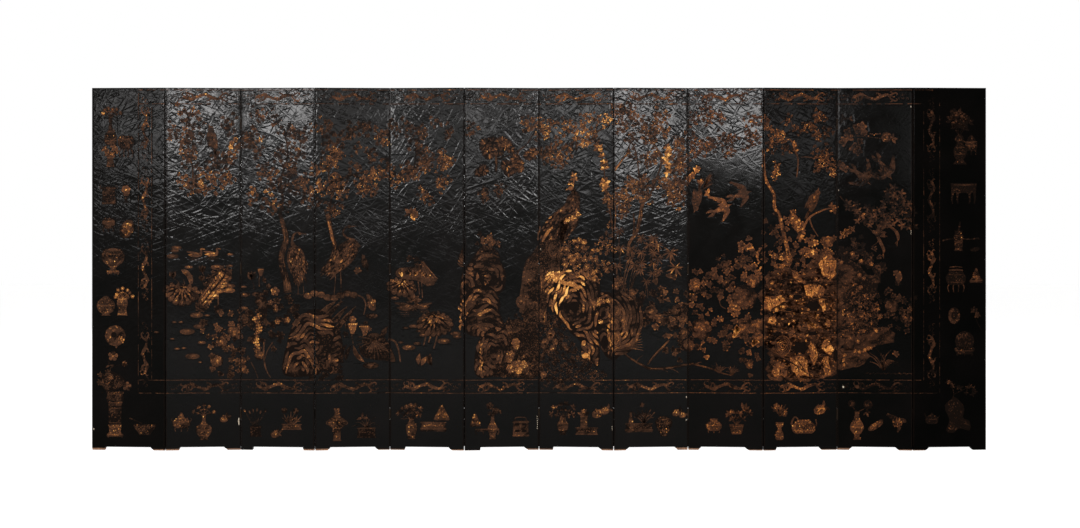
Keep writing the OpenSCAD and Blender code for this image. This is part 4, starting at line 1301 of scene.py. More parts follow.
def leaf_7():
    """The phoenix over the gilt rock, hanging blossom, a dark bank, and antiques."""
    clumps([(2655+1935j, 0.2), (2690+1930j, 0.22), (2735+1930j, 0.3), (2678+1890j, 0.5), (2686+1875j, 0.42),
        (2790+1930j, 0.1), (2830+1925j, 0.12), (2800+1895j, 0.24), (2845+1900j, 0.16), (2910+1962j, 0.36),
        (2935+1950j, 0.36), (2985+1950j, 0.1), (3020+1960j, 0.36), (3045+1940j, 0.5), (2880+1895j, 0.4),
        (2915+1885j, 0.42), (2950+1880j, 0.36), (2860+1858j, 0.3), (2765+1840j, 0), (2775+1815j, 0.02),
        (2640+1860j, 0.1), (2900+1820j, 0), (2940+1830j, 0.1), (2970+1845j, 0.1)], 52, 0.32)
    clumps([(2640+1760j, 0.16), (2680+1770j, 0.05), (2720+1775j, 0), (2700+1740j, 0.05), (2760+1750j, 0.2),
        (2800+1765j, 0.22), (2820+1755j, 0.24), (2690+1710j, 0.16), (2740+1715j, 0.12), (2780+1705j, 0.3),
        (2760+1690j, 0.1), (2660+1745j, 0.2)], 50, 0.26)
    bough([3060+1920j, 2960+1870j, 2860+1830j, 2760+1780j, 2660+1750j], [7, 5, 3], 0.2, 30, 150, 24)
    bough([2960+1870j, 2990+1800j, 3010+1735j, 3024+1665j, 3030+1570j, 3054+1470j, 3070+1330j, 3080+1250j],
          [6, 6, 6, 5, 4], 0.3, 26, 120, 12)
    for spot, size, own in ((2992+1784j, 34, 0.7), (2994+1765j, 28, 0.6), (3012+1734j, 26, 0.6),
            (3024+1690j, 30, 0.66), (3026+1662j, 32, 0.7), (3030+1580j, 36, 0.72), (3032+1556j, 32, 0.7),
            (3030+1540j, 26, 0.6)):
        sprig(spot, size, between(60, 120), own, 4, 160, 0.5)
    clumps([(3050+1470j, 0.05), (3062+1440j, 0.05), (3040+1490j, 0)], 50, 0.26)
    clumps([(3020+1230j, 0.1), (3045+1200j, 0.1), (2994+1180j, 0.3), (3060+1260j, 0), (3075+1190j, 0.1),
            (3045+1090j, 0.3)], 50, 0.26)
    phoenix()
    # round flowers over the rock
    for spot in scattered([2770+1190j, 2800+1010j, 2880+1000j, 2990+1010j, 3000+1100j, 2960+1190j,
                           2860+1240j], 31):
        if rng.random() < 0.5:
            blossom(spot, between(24, 36), vary(0.4))
        else:
            cluster(spot, 34, vary(0.26, 0.12), 3)
    for spot in (2800+1185j, 2868+1148j, 2796+1100j, 2922+1083j, 2958+1047j, 2876+1236j, 2904+1228j,
                 2842+1120j, 2968+1010j):
        peony(spot, 40, 0.58, 0.3)
    # the gilt rock
    trunk([2660+1069j, 2668+950j, 2664+850j, 2672+740j], [26, 40, 46, 30], 0.3)
    rock([2677+1046j, 2740+1062j, 2860+1056j, 2985+1042j, 2996+900j, 2990+720j, 2998+560j, 2985+496j,
        2950+520j, 2895+545j, 2885+640j, 2832+690j, 2776+760j, 2700+840j, 2672+925j],
        [[2852+842j, 0.9, 1.2, 24], [2872+560j, 0.9, 1.2, 0]], 0.34, 22, -0.2, 0.14, 0.78, 0.3, -0.34+0.3j)
    for points, gilt in (([2712+1048j, 2760+1052j, 2764+1010j, 2738+990j, 2716+1012j], 0.74),
            ([2758+1006j, 2800+1000j, 2850+992j, 2884+958j, 2870+944j, 2826+970j, 2764+980j], 0.7),
            ([2836+958j, 2858+956j, 2862+936j, 2838+934j], 0.7)):
        paint(ragged(points, 14, 3.5), gilt, 0.5)
    pebble = spline([0.5, 0.1+0.4j, -0.5+0.2j, -0.4-0.3j, 0.2-0.36j], 3, True)
    inlay(put(pebble, 2915+560j, 40, 20), 0.86, 0.42)
    inlay(put(pebble, 2905+635j, 32, 70), 0.74, 0.42)
    rock([2996+920j, 3080+910j, 3088+760j, 3088+560j, 3040+556j, 3000+640j, 2994+800j],
         [[3022+808j, 0.8, 1.1, 16], [3030+640j, 0.8, 1.5, 22]], 0.34, 21)
    for k in range(24):
        frond(3064 + between(-14, 16) + 1j * (840 - 12 * k), between(20, 32), between(60, 130), vary(0.66),
              0.4, 1.2, 0.4, 0.1)
    for spot in (2998+888j, 2994+868j, 3020+880j, 3050+885j, 3004+760j):
        blossom(spot, 30, 0.72, 5, 0.4)
    # dark bank with small flowers
    bank = [2636+780j, 2720+800j, 2790+720j, 2880+600j, 2960+500j, 3030+428j, 2636+428j]
    for spot in scattered(bank, 44):
        cluster(spot, 42, 0.04, 3)
    for spot in scattered(bank, 13):
        paint(put(ROUND, spot, between(1.2, 2.4)), vary(0.22, 0.1), 0.5)
    for spot, size in ((2713+690j, 46), (2705+668j, 40), (2678+640j, 42), (2672+615j, 38), (2735+640j, 40),
                       (2722+600j, 44), (2790+622j, 34), (2800+600j, 34), (2690+590j, 36), (2668+445j, 40)):
        blossom(spot, size, vary(0.34, 0.08), 6, 0.5)
    # antiques
    vessel(2781+92j, [(0, 20), (8, 15), (30, 28), (64, 31), (86, 18), (102, 17)], 0.26, (30, 70), 0.9)
    posy(2781+196j, 92, 0.18, 6, 140, 0.1)
    casket(2922+92j, 124, 44, 0.24)
    casket(2906+134j, 42, 72, 0.26)
    sprig(2904+206j, 44, 90, 0.32, 4, 120)
    blossom(2904+232j, 24, 0.5)
    fruit(2984+214j, 76, 0.34, 2)
    fruit(3030+232j, 64, 0.5, 2)


def phoenix():
    """The large bird that looks to the left, its train falling over two leaves."""
    body = 2770+1390j
    for k in range(15):
        start = 2700 + 9 * k + 1j * (1290 + 5 * k)
        end = 2518 + 11 * k + 1j * (712 + 2.4 * (k - 7.5) ** 2)
        middle = start * 0.5 + end * 0.5 + complex(-42 + 4 * k, 26)
        plume = [start, start * 0.75 + end * 0.25 + (-26+6j), middle, end * 0.8 + start * 0.2 - 12, end]
        stroke(plume, [16, 20, 24, 26, 14], vary(0.07, 0.05), 0.1 + 0.01 * k, 6)
        line = spline(plume, 9)
        for n in range(2, len(line) - 1):
            way = heading(line[n] - line[n - 1])
            for side in (-1, 1):
                dab(line[n], between(10, 15), way + side * between(18, 34), vary(0.17, 0.12),
                    0.3, 0.34, 0, 3)
    for at, size in ((2532+872j, 62), (2590+862j, 52), (2562+905j, 40)):
        inlay(put(OVAL.real * 0.44 + 0.6j * OVAL.imag, at, size, 14), 0.2, 0.34, 2)
        stroke([at - 0.26 * size + 0.1j * size, at - 0.2j * size, at + 0.24 * size + 0.12j * size],
               [2, 5, 2], -1, 0.46)
        paint(put(OVAL, at + 0.1j * size, size * 0.12), 0.4, 0.46)
    outline = spline([2842+1520j, 2874+1470j, 2880+1400j, 2860+1320j, 2790+1250j, 2720+1234j, 2650+1260j,
                      2668+1330j, 2730+1400j, 2790+1450j, 2812+1500j], 4, True)
    inlay(outline, 0.06, 0.3, 3)
    feathers(outline * 0.95 + body * 0.05, 26, -128, 0.2, 0.44, 0.44)
    for k in range(11):
        frond(2868 - 5 * k + 1j * (1400 - 5 * k), 150 + 6 * (k % 3), -146 + 4.4 * k, vary(0.16, 0.1), 0.46,
              1.3, 0.17, -0.1)
    for k in range(10):
        leaf(2800 + 9 * k + 1j * (1352 + 5.6 * k + between(-6, 6)), 22, -140, vary(0.6, 0.14), 0.56, 3)
    stroke([2722+1320j, 2694+1290j, 2668+1250j, 2660+1230j], [8, 18, 16, 6], 0.72, 0.56)
    stroke([2646+1322j, 2640+1290j, 2634+1240j], [6, 12, 6], 0.6, 0.5)
    for k in range(5):
        stroke([2710 + 8 * k + 1240j, 2700 + 8 * k + 1180j, 2714 + 7 * k + 1120j,
                2732 + 6 * k + 1j * (1082 + 8 * k)], [9, 8, 6, 2], vary(0.24, 0.08), 0.2)
    stroke([2812+1256j, 2770+1220j, 2758+1140j, 2760+1056j], [10, 7, 6, 5], 0.34, 0.24)
    # neck, head and crest
    neck = spline([2850+1440j, 2862+1490j, 2846+1530j, 2828+1556j], 5)
    paint(ribbon(neck, [60, 44, 30, 20]), 0.04, 0.4)
    for n in range(len(neck) - 1):
        for side in (-0.6, -0.2, 0.2, 0.6):
            dab(neck[n] + side * (30 - 1.3 * n), 20, -84 + between(-20, 20), vary(0.2, 0.12), 0.5, 0.4, 0, 3)
    frond(2846+1552j, 40, 196, 0.5, 0.56, 1.5, 0.66)
    paint([2812+1548j, 2794+1534j, 2812+1538j], 0.7, 0.56)
    paint(put(ROUND, 2826+1549j, 2.4), -1, 0.7)
    stroke([2842+1556j, 2846+1590j, 2848+1626j], [6, 8, 5], 0.6, 0.5)
    for at, size in ((2848+1622j, 24), (2840+1596j, 20), (2852+1600j, 20), (2826+1572j, 18)):
        sprig(at, size, 80, 0.68, 4, 200, 0.5)


def leaf_8():
    """Two trees over bamboo, a leafy bush and a long root, and antiques."""
    clumps([3105+2010j, 3130+2005j, (3120+2015j, 0.1), 3165+1995j, 3195+2000j, 3180+2010j, 3110+1935j,
        3140+1925j, 3125+1905j, 3190+1945j, 3215+1950j, (3240+1935j, 0.05), 3265+1940j, 3290+1945j,
        (3335+1975j, 0.05), (3365+1980j, 0.1), (3380+1965j, 0.15), 3340+1955j], 56, 0.3)
    clumps([3235+1890j, 3270+1880j, 3300+1895j, (3345+1895j, 0.2), (3365+1890j, 0.25), 3390+1885j,
        3170+1850j, 3190+1840j, 3270+1850j, 3300+1840j, 3320+1855j, 3460+1815j, 3485+1820j, 3470+1795j,
        3495+1840j], 56, 0.26)
    clumps([(3285+1725j, 0.05), (3310+1735j, 0), (3270+1705j, 0.05), (3300+1700j, 0.05), (3340+1740j, 0),
        3430+1720j, 3460+1735j, 3490+1730j, 3445+1690j, 3480+1690j, 3505+1700j, 3460+1655j,
        3495+1660j], 58, 0.28)
    for k in range(10):
        sprig(3396 + 10 * math.sin(k) + 1j * (1790 - 17 * k), 28, 90 + 60 * math.sin(3 * k),
              vary(0.64, 0.1), 4, 200, 0.5)
    clumps([(3380+1590j, 0.02), 3410+1580j, 3440+1575j, 3475+1585j, 3500+1590j, (3395+1550j, 0.05),
        (3425+1545j, 0.1), (3450+1540j, 0.1), 3480+1540j, (3430+1515j, 0.32), (3455+1505j, 0.1), 3490+1505j,
        3435+1475j, 3465+1470j], 60, 0.3)
    clumps([(3165+1580j, 0.1), (3190+1585j, 0.05), (3220+1590j, 0.1), (3250+1580j, 0.1), (3285+1590j, 0),
        (3180+1550j, 0.1), (3215+1555j, 0.12), (3250+1545j, 0.1), (3280+1550j, 0.05), (3200+1520j, 0.1),
        (3240+1510j, 0.1)], 56, 0.3)
    clumps([(3100+1500j, 0.1), (3125+1490j, 0.16), (3150+1495j, 0.1), (3110+1465j, 0.1), (3140+1455j, 0.16),
        (3165+1460j, 0.1), (3125+1425j, 0.1), (3155+1420j, 0.05), (3140+1400j, 0), (3260+1490j, 0),
        (3285+1480j, 0)], 56, 0.3)
    bough([3292+1500j, 3330+1600j, 3360+1720j, 3300+1860j, 3330+1960j], [10, 7, 4], 0.24, 40, 160, 26)
    bough([3260+1500j, 3230+1620j, 3210+1760j, 3170+1840j], [7, 6, 3], 0.2, 40, 160, 26)
    bough([3078+1660j, 3120+1700j, 3160+1760j, 3180+1830j], [8, 6, 4], 0.4, 30, 200, 20)
    stroke([3086+1650j, 3112+1690j, 3136+1726j], [6, 9, 4], 0.6, 0.3)
    trunk([3300+1512j, 3252+1460j, 3236+1375j, 3214+1290j, 3172+1225j, 3160+1150j],
          [14, 20, 22, 20, 16, 12], 0.34)
    trunk([3196+1400j, 3200+1320j, 3190+1240j], [9, 10, 8], 0.26)
    stroke([3086+1500j, 3090+1400j, 3084+1300j], [6, 6, 5], 0.4, 0.2)
    # bamboo
    bamboo(3130+940j, [3242+1259j, 3181+1194j, 3177+1138j, 3110+1300j, 3120+1196j, 3098+1090j], 0.36)
    bamboo(3170+920j, [3313+1256j, 3242+1171j, 3201+1100j, 3242+1112j, 3236+1070j], 0.36)
    for spot in (3343+1218j, 3313+1171j, 3340+1135j, 3313+1108j, 3343+1061j, 3310+1046j, 3272+1001j,
                 3048+1078j, 3290+1215j):
        star(spot, between(42, 54), 0.34)
    star(3414+1171j, 66, 0.44)
    star(3443+1079j, 66, 0.44)
    for a, b in ((3272+1001j, 3262+900j), (3272+1001j, 3280+900j), (3310+1046j, 3272+1001j),
                 (3343+1135j, 3414+1171j)):
        stroke(bent(a, b, 3), [3, 4, 3], 0.26)
    # leafy bush on the right, and its stem
    bush([3391+983j, 3360+1000j, 3330+925j, 3420+910j, 3480+890j, 3520+895j, 3380+840j, 3455+825j, 3500+835j,
        3350+780j, 3425+765j, 3490+780j, 3300+820j, 3286+720j, 3365+700j, 3425+708j, 3495+690j, 3470+635j,
        3425+600j, 3500+560j, 3520+620j, 3520+740j], 76, 0.3, 0.18)
    trunk([3408+650j, 3370+610j, 3337+578j, 3304+540j, 3280+508j], [9, 10, 11, 10, 7], 0.4)
    leaf(3110+985j, 60, 100, 0.34)
    blossom(3092+968j, 46, 0.4)
    bush([3190+930j, 3215+905j, 3120+945j], 54, 0.36, 0.3, 3)
    cluster(3280+860j, 92, 0.1, 6, 7)
    # rock of curved strata, with round stones where it meets the gilt rock
    rock([3082+940j, 3140+936j, 3200+910j, 3240+850j, 3252+760j, 3226+660j, 3180+590j, 3120+566j, 3082+570j],
         [[3050+770j, 0.85, 1.05, 0]], 0.32, 24, -0.5, 0.1, 0.74, 0.1)
    for at, wide, tall in ((3092+828j, 66, 78), (3090+738j, 48, 84), (3094+660j, 60, 104)):
        inlay(at + 0.5 * (wide * OVAL.real + 1j * tall * OVAL.imag), 0.36, 0.34)
        for k in (0.72, 0.44):
            inlay(at - 3 + 0.5 * k * (wide * OVAL.real + 1j * tall * OVAL.imag), 0.42 + 0.1 * k, 0.42, 1.6)
    grass(3150+600j, 110, 0.36, 8, 120)
    for k in range(8):
        stroke([3150+598j, 3200 + 1j * (600 + 10 * k), 3255 + 1j * (590 + 17 * k) - 2 * k], [4, 5, 1.5],
               vary(0.34, 0.1), 0.16)
    # long root over the ground, with tufts
    trunk([3140+572j, 3190+535j, 3240+508j, 3301+481j, 3420+488j, 3536+508j, 3600+496j, 3653+481j, 3720+456j,
           3780+440j], [8, 9, 11, 13, 12, 12, 9, 8, 7, 4], 0.2)
    for a, b in ((3210+522j, 3250+560j), (3330+484j, 3400+462j), (3400+486j, 3466+456j),
                 (3560+502j, 3600+520j)):
        stroke(bent(a, b, 4j), [6, 5, 2], 0.2, 0.14)
    # antiques
    vessel(3180+158j, [(0, 10), (8, 14), (30, 10), (48, 6), (66, 7)], 0.3, (20,), 0.4)
    casket(3228+116j, 156, 44, 0.24)
    low_table(3228+124j, 164, 16, 0.26)
    coral(3258+160j, 104, 0.22, 6)
    blossom(3246+268j, 28, 0.26)
    vessel(3376+84j, [(0, 22), (10, 18), (34, 34), (70, 48), (92, 46), (106, 26), (114, 24)], 0.18,
           (36, 76, 100), 0.9)
    fruit(3450+216j, 58, 0.36)
    fruit(3488+204j, 50, 0.5, 1)


def leaf_9():
    """A hanging bird and swallows over peony bushes, and antiques."""
    clumps([(3612+2020j, -0.16), (3640+2015j, -0.16), (3556+1975j, -0.05), (3560+1945j, 0),
        (3640+1960j, 0.02), (3665+1970j, 0.1), (3690+1975j, 0.15), (3715+1970j, 0.02), (3625+1950j, -0.1),
        (3880+1955j, 0.02), (3905+1945j, 0.05), (3930+1950j, 0), (3870+1875j, 0), (3895+1860j, 0.1),
        (3915+1850j, 0.05), (3890+1830j, 0), (3930+1835j, 0.05)], 52, 0.26)
    clumps([(3548+1845j, 0.05), (3565+1830j, 0.05), (3630+1820j, -0.05), (3655+1810j, -0.02),
        (3680+1800j, 0), (3640+1790j, 0), (3720+1850j, 0), (3745+1840j, 0.05), (3770+1830j, 0.1),
        (3790+1845j, 0), (3750+1810j, 0.05), (3558+1770j, 0.1), (3585+1765j, 0.05), (3605+1775j, 0),
        (3755+1760j, 0.05), (3775+1750j, 0.05), (3870+1800j, 0)], 52, 0.26)
    stroke([3550+1930j, 3590+1945j, 3652+1930j, 3720+1950j, 3770+1925j, 3790+1888j, 3828+1925j],
           [4, 5, 5, 4, 3], -0.4, 0.2)
    stroke([3940+1940j, 3860+1900j, 3790+1850j, 3700+1830j, 3600+1800j], [5, 5, 4, 3], -0.2, 0.14)
    # gilt leaf, hanging bird, small blossom, two swallows
    for spot, size, turn in ((3532+1632j, 44, -50), (3556+1650j, 40, 20), (3574+1656j, 30, 60),
                             (3526+1610j, 34, -110)):
        leaf(spot, size, turn, 0.72, 0.2)
    perched(3572+1485j, 150, -112, 0.3)
    for k in range(6):
        frond(3592 + 6 * k + 1j * (1530 + 6 * k), 90, 30 + 7 * k, vary(0.2, 0.06), 0.2, 1.4, 0.16, 0.08)
    sprig(3640+1516j, 34, 180, 0.6, 4, 180, 0.5)
    sprig(3592+1570j, 34, 80, 0.34, 3, 80)
    flying(3712+1424j, 176, 24, 0.48)
    flying(3826+1508j, 168, 18, 0.34)
    paint(put(ROUND, 3700+1418j, 12), 0.72, 0.6)
    # peony bushes
    bush([3852+1246j, 3885+1195j, 3830+1170j, 3870+1150j, 3895+1110j, 3935+1090j, 3925+1050j, 3880+1050j,
          3850+1085j], 76, 0.34, 0.14)
    bush([3717+1115j, 3736+1094j, 3700+1090j], 56, 0.34, 0.3, 3)
    bush([3622+1065j, 3600+1040j, 3640+1030j, 3612+1008j, 3660+1000j, 3690+985j, 3655+950j, 3605+900j,
          3700+940j, 3740+1000j, 3760+940j, 3720+1040j, 3790+990j, 3800+1040j, 3820+1080j], 72, 0.38, 0.1)
    leaf(3575+980j, 74, 200, 0.5, 0.3, 6)
    peony(3563+985j, 66, 0.48, 0.34)
    bush([3800+850j, 3760+790j, 3830+800j, 3900+820j, 3780+700j, 3850+720j, 3930+740j, 3900+660j, 3820+640j,
          3930+600j, 3755+660j, 3740+700j, 3925+960j, 3900+1000j, 3800+920j, 3935+670j], 86, 0.42, 0.26)
    peony(3850+906j, 150, 0.3, 0.4)
    peony(3600+715j, 128, 0.34, 0.36)
    bush([3545+770j, 3640+760j, 3560+630j, 3620+605j, 3670+670j, 3685+635j, 3635+575j, 3566+825j, 3600+815j,
          3636+802j, 3672+770j, 3712+750j], 62, 0.46, 0.1, 3)
    for count, at, step, (least, most), lean, fan_out in (
            (7, 3780+664j, 9+7j, (44, 62), 90, 16), (6, 3900+610j, 8+5j, (34, 50), 120, 14)):
        for k in range(count):
            petal = put(blade(0.5, 0.06), at + step * k, between(least, most), lean + fan_out * (k - 3))
            inlay(petal, vary(0.66, 0.1), 0.46, 1.6)
    for k in range(12):
        frond(3938 + between(-10, 4) + 1j * (1180 - 16 * k), between(20, 30), between(40, 140),
              vary(0.6, 0.12), 0.5, 1.4, 0.5, 0.06)
    bush([3860+590j, 3850+560j, 3890+540j, 3880+505j, 3896+484j], 58, 0.34, 0.1, 3)
    stroke([3720+905j, 3705+880j, 3716+850j, 3742+835j], [4, 5, 5, 4], 0.2, 0.14)
    grass(3700+455j, 70, 0.24, 9, 120)
    grass(3780+444j, 62, 0.24, 9, 120)
    # antiques
    vessel(3672+114j, [(0, 24), (14, 42), (34, 46), (50, 34), (58, 20), (72, 22)], 0.4, (34, 60), 0.8)
    feet(3672+122j, 30, 20, 0.34)
    vessel(3805+94j, [(0, 26), (12, 32), (34, 36), (54, 42), (60, 40)], 0.24, (10, 50), 0.8)
    posy(3805+150j, 104, 0.2, 6, 90, 0.2)
    sprig(3850+240j, 44, 50, 0.3, 4, 120)


def leaf_10():
    """A bird on its branch and peonies over the heaped gilt rock, and antiques."""
    clumps([(3968+1935j, 0.1), (3985+1925j, 0.05), (4113+1957j, 0.2), (4280+1972j, 0.05), (4300+1970j, 0.2),
        (4315+1962j, 0.1), (4215+1910j, 0.05), (4240+1905j, 0.1), (4262+1895j, 0.1), (4285+1870j, 0.05),
        (4300+1850j, 0.1), (4160+1893j, 0.1), (4350+1882j, 0)], 48, 0.22)
    clumps([(4010+1875j, 0.3), (4035+1865j, 0.25), (4060+1855j, 0.42), (4085+1850j, 0.5), (4070+1838j, 0.4),
            (4000+1810j, 0.15), (4025+1795j, 0.15), (4110+1780j, -0.1), (4085+1790j, -0.1)], 46, 0.27)
    stroke([4060+1930j, 4090+1950j, 4113+1952j, 4130+1925j, 4118+1890j, 4100+1855j], [4, 4, 4, 3], 0.1, 0.12)
    stroke([4110+1840j, 4135+1815j, 4149+1771j, 4166+1718j, 4164+1660j, 4158+1612j],
           [6, 12, 12, 9, 7, 4], 0.44, 0.2)
    for spot in (4138+1812j, 4146+1790j, 4150+1770j):
        sprig(spot, 24, 70, 0.6, 3, 120, 0.5)
    stroke([4180+1730j, 4220+1732j, 4270+1722j], [4, 5, 4], 0.4, 0.16)
    clumps([(4285+1760j, 0.12), (4310+1750j, 0.15), (4335+1735j, 0.1), (4300+1720j, 0.2), (4325+1705j, 0.15),
            (4305+1690j, 0.2), (4350+1770j, 0), (4290+1665j, 0.16), (4365+1690j, 0.05)], 50, 0.3)
    clumps([(4040+1675j, 0.3), (4045+1650j, 0.2), (4030+1620j, 0.15), (4379+1660j, 0.3),
            (4382+1640j, 0.3)], 40, 0.28)
    branch = [3960+1780j, 3966+1640j, 3984+1576j, 4022+1510j, 4026+1434j, 4052+1396j, 4068+1330j,
              4090+1240j, 4120+1120j]
    trunk(branch, [12, 16, 17, 18, 20, 20, 22, 24, 26], 0.38)
    line = spline(branch, 5)
    for k in range(1, len(line) - 2, 2):
        frond(line[k] + between(-6, 6), between(18, 26), heading(line[k + 1] - line[k]), vary(0.6, 0.12),
              0.4, 1.2, 0.6)
    # bird on its branch
    stroke([4175+1230j, 4202+1319j, 4233+1372j, 4273+1399j, 4326+1421j, 4383+1434j],
           [16, 14, 12, 10, 9, 7], 0.44, 0.2)
    stroke([4232+1376j, 4252+1318j, 4286+1262j], [9, 8, 4], 0.4, 0.18)
    for spot in (4370+1440j, 4384+1428j, 4376+1412j, 4180+1262j, 4194+1292j):
        sprig(spot, 26, 60, 0.62, 4, 220, 0.5)
    perched(4254+1468j, 158, 76, 0.24, -1, 0.8)
    feathers(put(OVAL.real * 0.6 + 1j * OVAL.imag, 4268+1492j, 18), 13, -100, 0.56, 0.5)
    # peonies
    bush([4100+1385j, 4135+1372j, 4155+1340j, 4120+1345j, 4165+1318j], 66, 0.58, 0.4, 3)
    bush([4010+1360j, 3990+1300j, 4015+1235j, 4060+1280j, 4100+1260j, 4140+1260j, 4035+1180j, 4090+1180j,
          3990+1170j, 4140+1190j, 4180+1160j, 4060+1120j], 66, 0.26, 0.1)
    bush([4237+1210j, 4282+1232j, 4345+1230j, 4300+1168j, 4335+1140j, 4255+1165j, 4375+1200j, 4370+1160j,
          4230+1140j], 72, 0.56, 0.3)
    bush([4030+1165j, 4050+1130j, 4085+1100j, 4110+1130j, 4140+1080j, 4180+1060j, 4220+1080j], 62, 0.48, 0.2)
    # heaped gilt rock
    gilt_rock()
    # antiques
    coral(4060+205j, 76, 0.34, 6)
    blossom(4038+262j, 38, 0.4)
    blossom(4086+215j, 34, 0.34)
    vessel(4056+62j, [(0, 16), (10, 24), (40, 22), (56, 14), (74, 12), (84, 22), (104, 24)], 0.36,
           (20, 50, 92), 0.8)
    vessel(4200+98j, [(0, 48), (16, 66), (46, 70), (66, 50), (82, 36)], 0.34, (20, 60), 1.0)
    stroke([4140+142j, 4128+160j, 4146+196j, 4166+184j], [12, 11, 9, 8], 0.34)
    stroke([4262+130j, 4276+150j, 4272+182j], [9, 7, 5], 0.3)
    fruit(4296+236j, 86, 0.42, 2)


def gilt_rock():
    """The heap of rocks with its dark hollows, brightest at a few faces."""
    edge = [3962+900j, 3968+760j, 3966+640j, 4020+560j, 4010+460j, 4040+432j, 4200+428j, 4330+430j,
            4370+440j, 4394+560j, 4396+800j, 4396+1110j, 4300+1120j, 4200+1040j, 4080+1060j, 3990+1020j]
    rock(edge, [[4255+849j, 1.1, 0.9, 34], [4180+606j, 1.1, 0.9, 40], [4073+618j, 0.9, 1.1, 8],
                [4060+880j, 1.2, 0.9, 10], [4340+1040j, 1, 1.2, 0], [4340+600j, 0.9, 1.4, 14],
                [4180+470j, 1.3, 0.8, 0]], 0.14, 26, -0.1, 0.1, 0.86, 0.06)
    for spot in scattered(edge, 34):
        plane(spot + between(34, 64) * np.array([1, 0.5+0.5j, -0.4+0.6j, -1+0.1j, -0.6-0.4j, 0.5-0.5j]),
              vary(0.22, 0.09), 0.28)
    for spot in scattered(edge, 40):
        cluster(spot, 44, vary(0.18, 0.08), 3)
    for spot in scattered(edge, 27):
        dab(spot, between(7, 17), between(0, 180), vary(0.44, 0.2), 0.44, 0.55, 0.1, 3)
    faces = [([4300+1122j, 4394+1124j, 4392+1040j, 4360+1004j, 4322+1030j, 4290+1080j], 0.86),
             ([4204+975j, 4236+984j, 4300+978j, 4328+950j, 4320+915j, 4262+905j, 4214+912j], 0.9),
             ([4128+1066j, 4160+1060j, 4190+1010j, 4210+985j, 4170+990j, 4140+1020j], 0.84),
             ([4246+1000j, 4300+1012j, 4370+1000j, 4380+985j, 4310+990j], 0.6),
             ([3964+905j, 4010+914j, 4070+904j, 4096+880j, 4040+858j, 4000+826j, 3966+838j], 0.86),
             ([3990+785j, 4030+795j, 4042+765j, 4020+745j, 3992+752j], 0.94),
             ([4290+905j, 4320+890j, 4336+850j, 4322+815j, 4308+846j, 4290+880j], 0.84),
             ([4336+780j, 4358+770j, 4352+722j, 4338+726j], 0.86),
             ([4318+650j, 4346+652j, 4376+590j, 4360+562j, 4330+572j, 4308+600j], 0.92),
             ([4240+640j, 4262+620j, 4284+560j, 4262+500j, 4236+540j, 4228+600j], 0.9),
             ([4024+510j, 4060+520j, 4110+498j, 4104+440j, 4030+436j, 4014+470j], 0.8),
             ([4120+545j, 4180+560j, 4224+530j, 4226+440j, 4160+434j, 4130+470j], 0.84),
             ([4318+548j, 4346+550j, 4362+440j, 4326+436j], 0.84),
             ([4100+700j, 4140+716j, 4150+680j, 4110+664j], 0.7),
             ([4160+730j, 4230+750j, 4244+716j, 4180+700j], 0.62)]
    for k, (points, gilt) in enumerate(faces):
        shards(points, gilt - 0.2, (8, -14, 26, -70, 16)[k % 5])
    # whorl and hollows
    for ring in range(5):
        turn = np.radians(np.linspace(0, 330, 22) + 50 * ring)
        radius = 10 + 10 * ring
        paint(ribbon(4073+618j + radius * (np.cos(turn) + 1.15j * np.sin(turn)), [2, 6, 5, 2]),
              vary(0.72 - 0.05 * ring, 0.06), 0.46)
    for middle, sx, sz in ((4255+852j, 42, 32), (4180+604j, 46, 40), (4390+560j, 14, 40),
            (4160+905j, 30, 14), (4040+690j, 30, 12), (4250+690j, 34, 12), (4110+830j, 26, 10)):
        wobble = np.array([1 + 0.2 * math.sin(3.1 * k + middle.real) for k in range(12)])
        paint(middle + wobble * (OVAL.real * sx + 1j * OVAL.imag * sz), -1, 0.52)
    for a, b in ((3985+594j, 4240+440j), (4000+574j, 4204+468j), (4150+540j, 4210+460j),
            (4240+880j, 4400+905j), (4150+980j, 4390+990j), (3966+930j, 4130+880j), (3966+820j, 4180+800j)):
        stroke(bent(a, b, 8j), [3, 6, 3], -0.9, 0.54)
        stroke([a + 4j, a * 0.5 + b * 0.5 + 14j, b + 4j], [1, 2.5, 1], 0.4, 0.56)
    for spot in scattered(edge, 96):
        blossom(spot, between(18, 26), vary(0.54, 0.12), 5, 0.5)


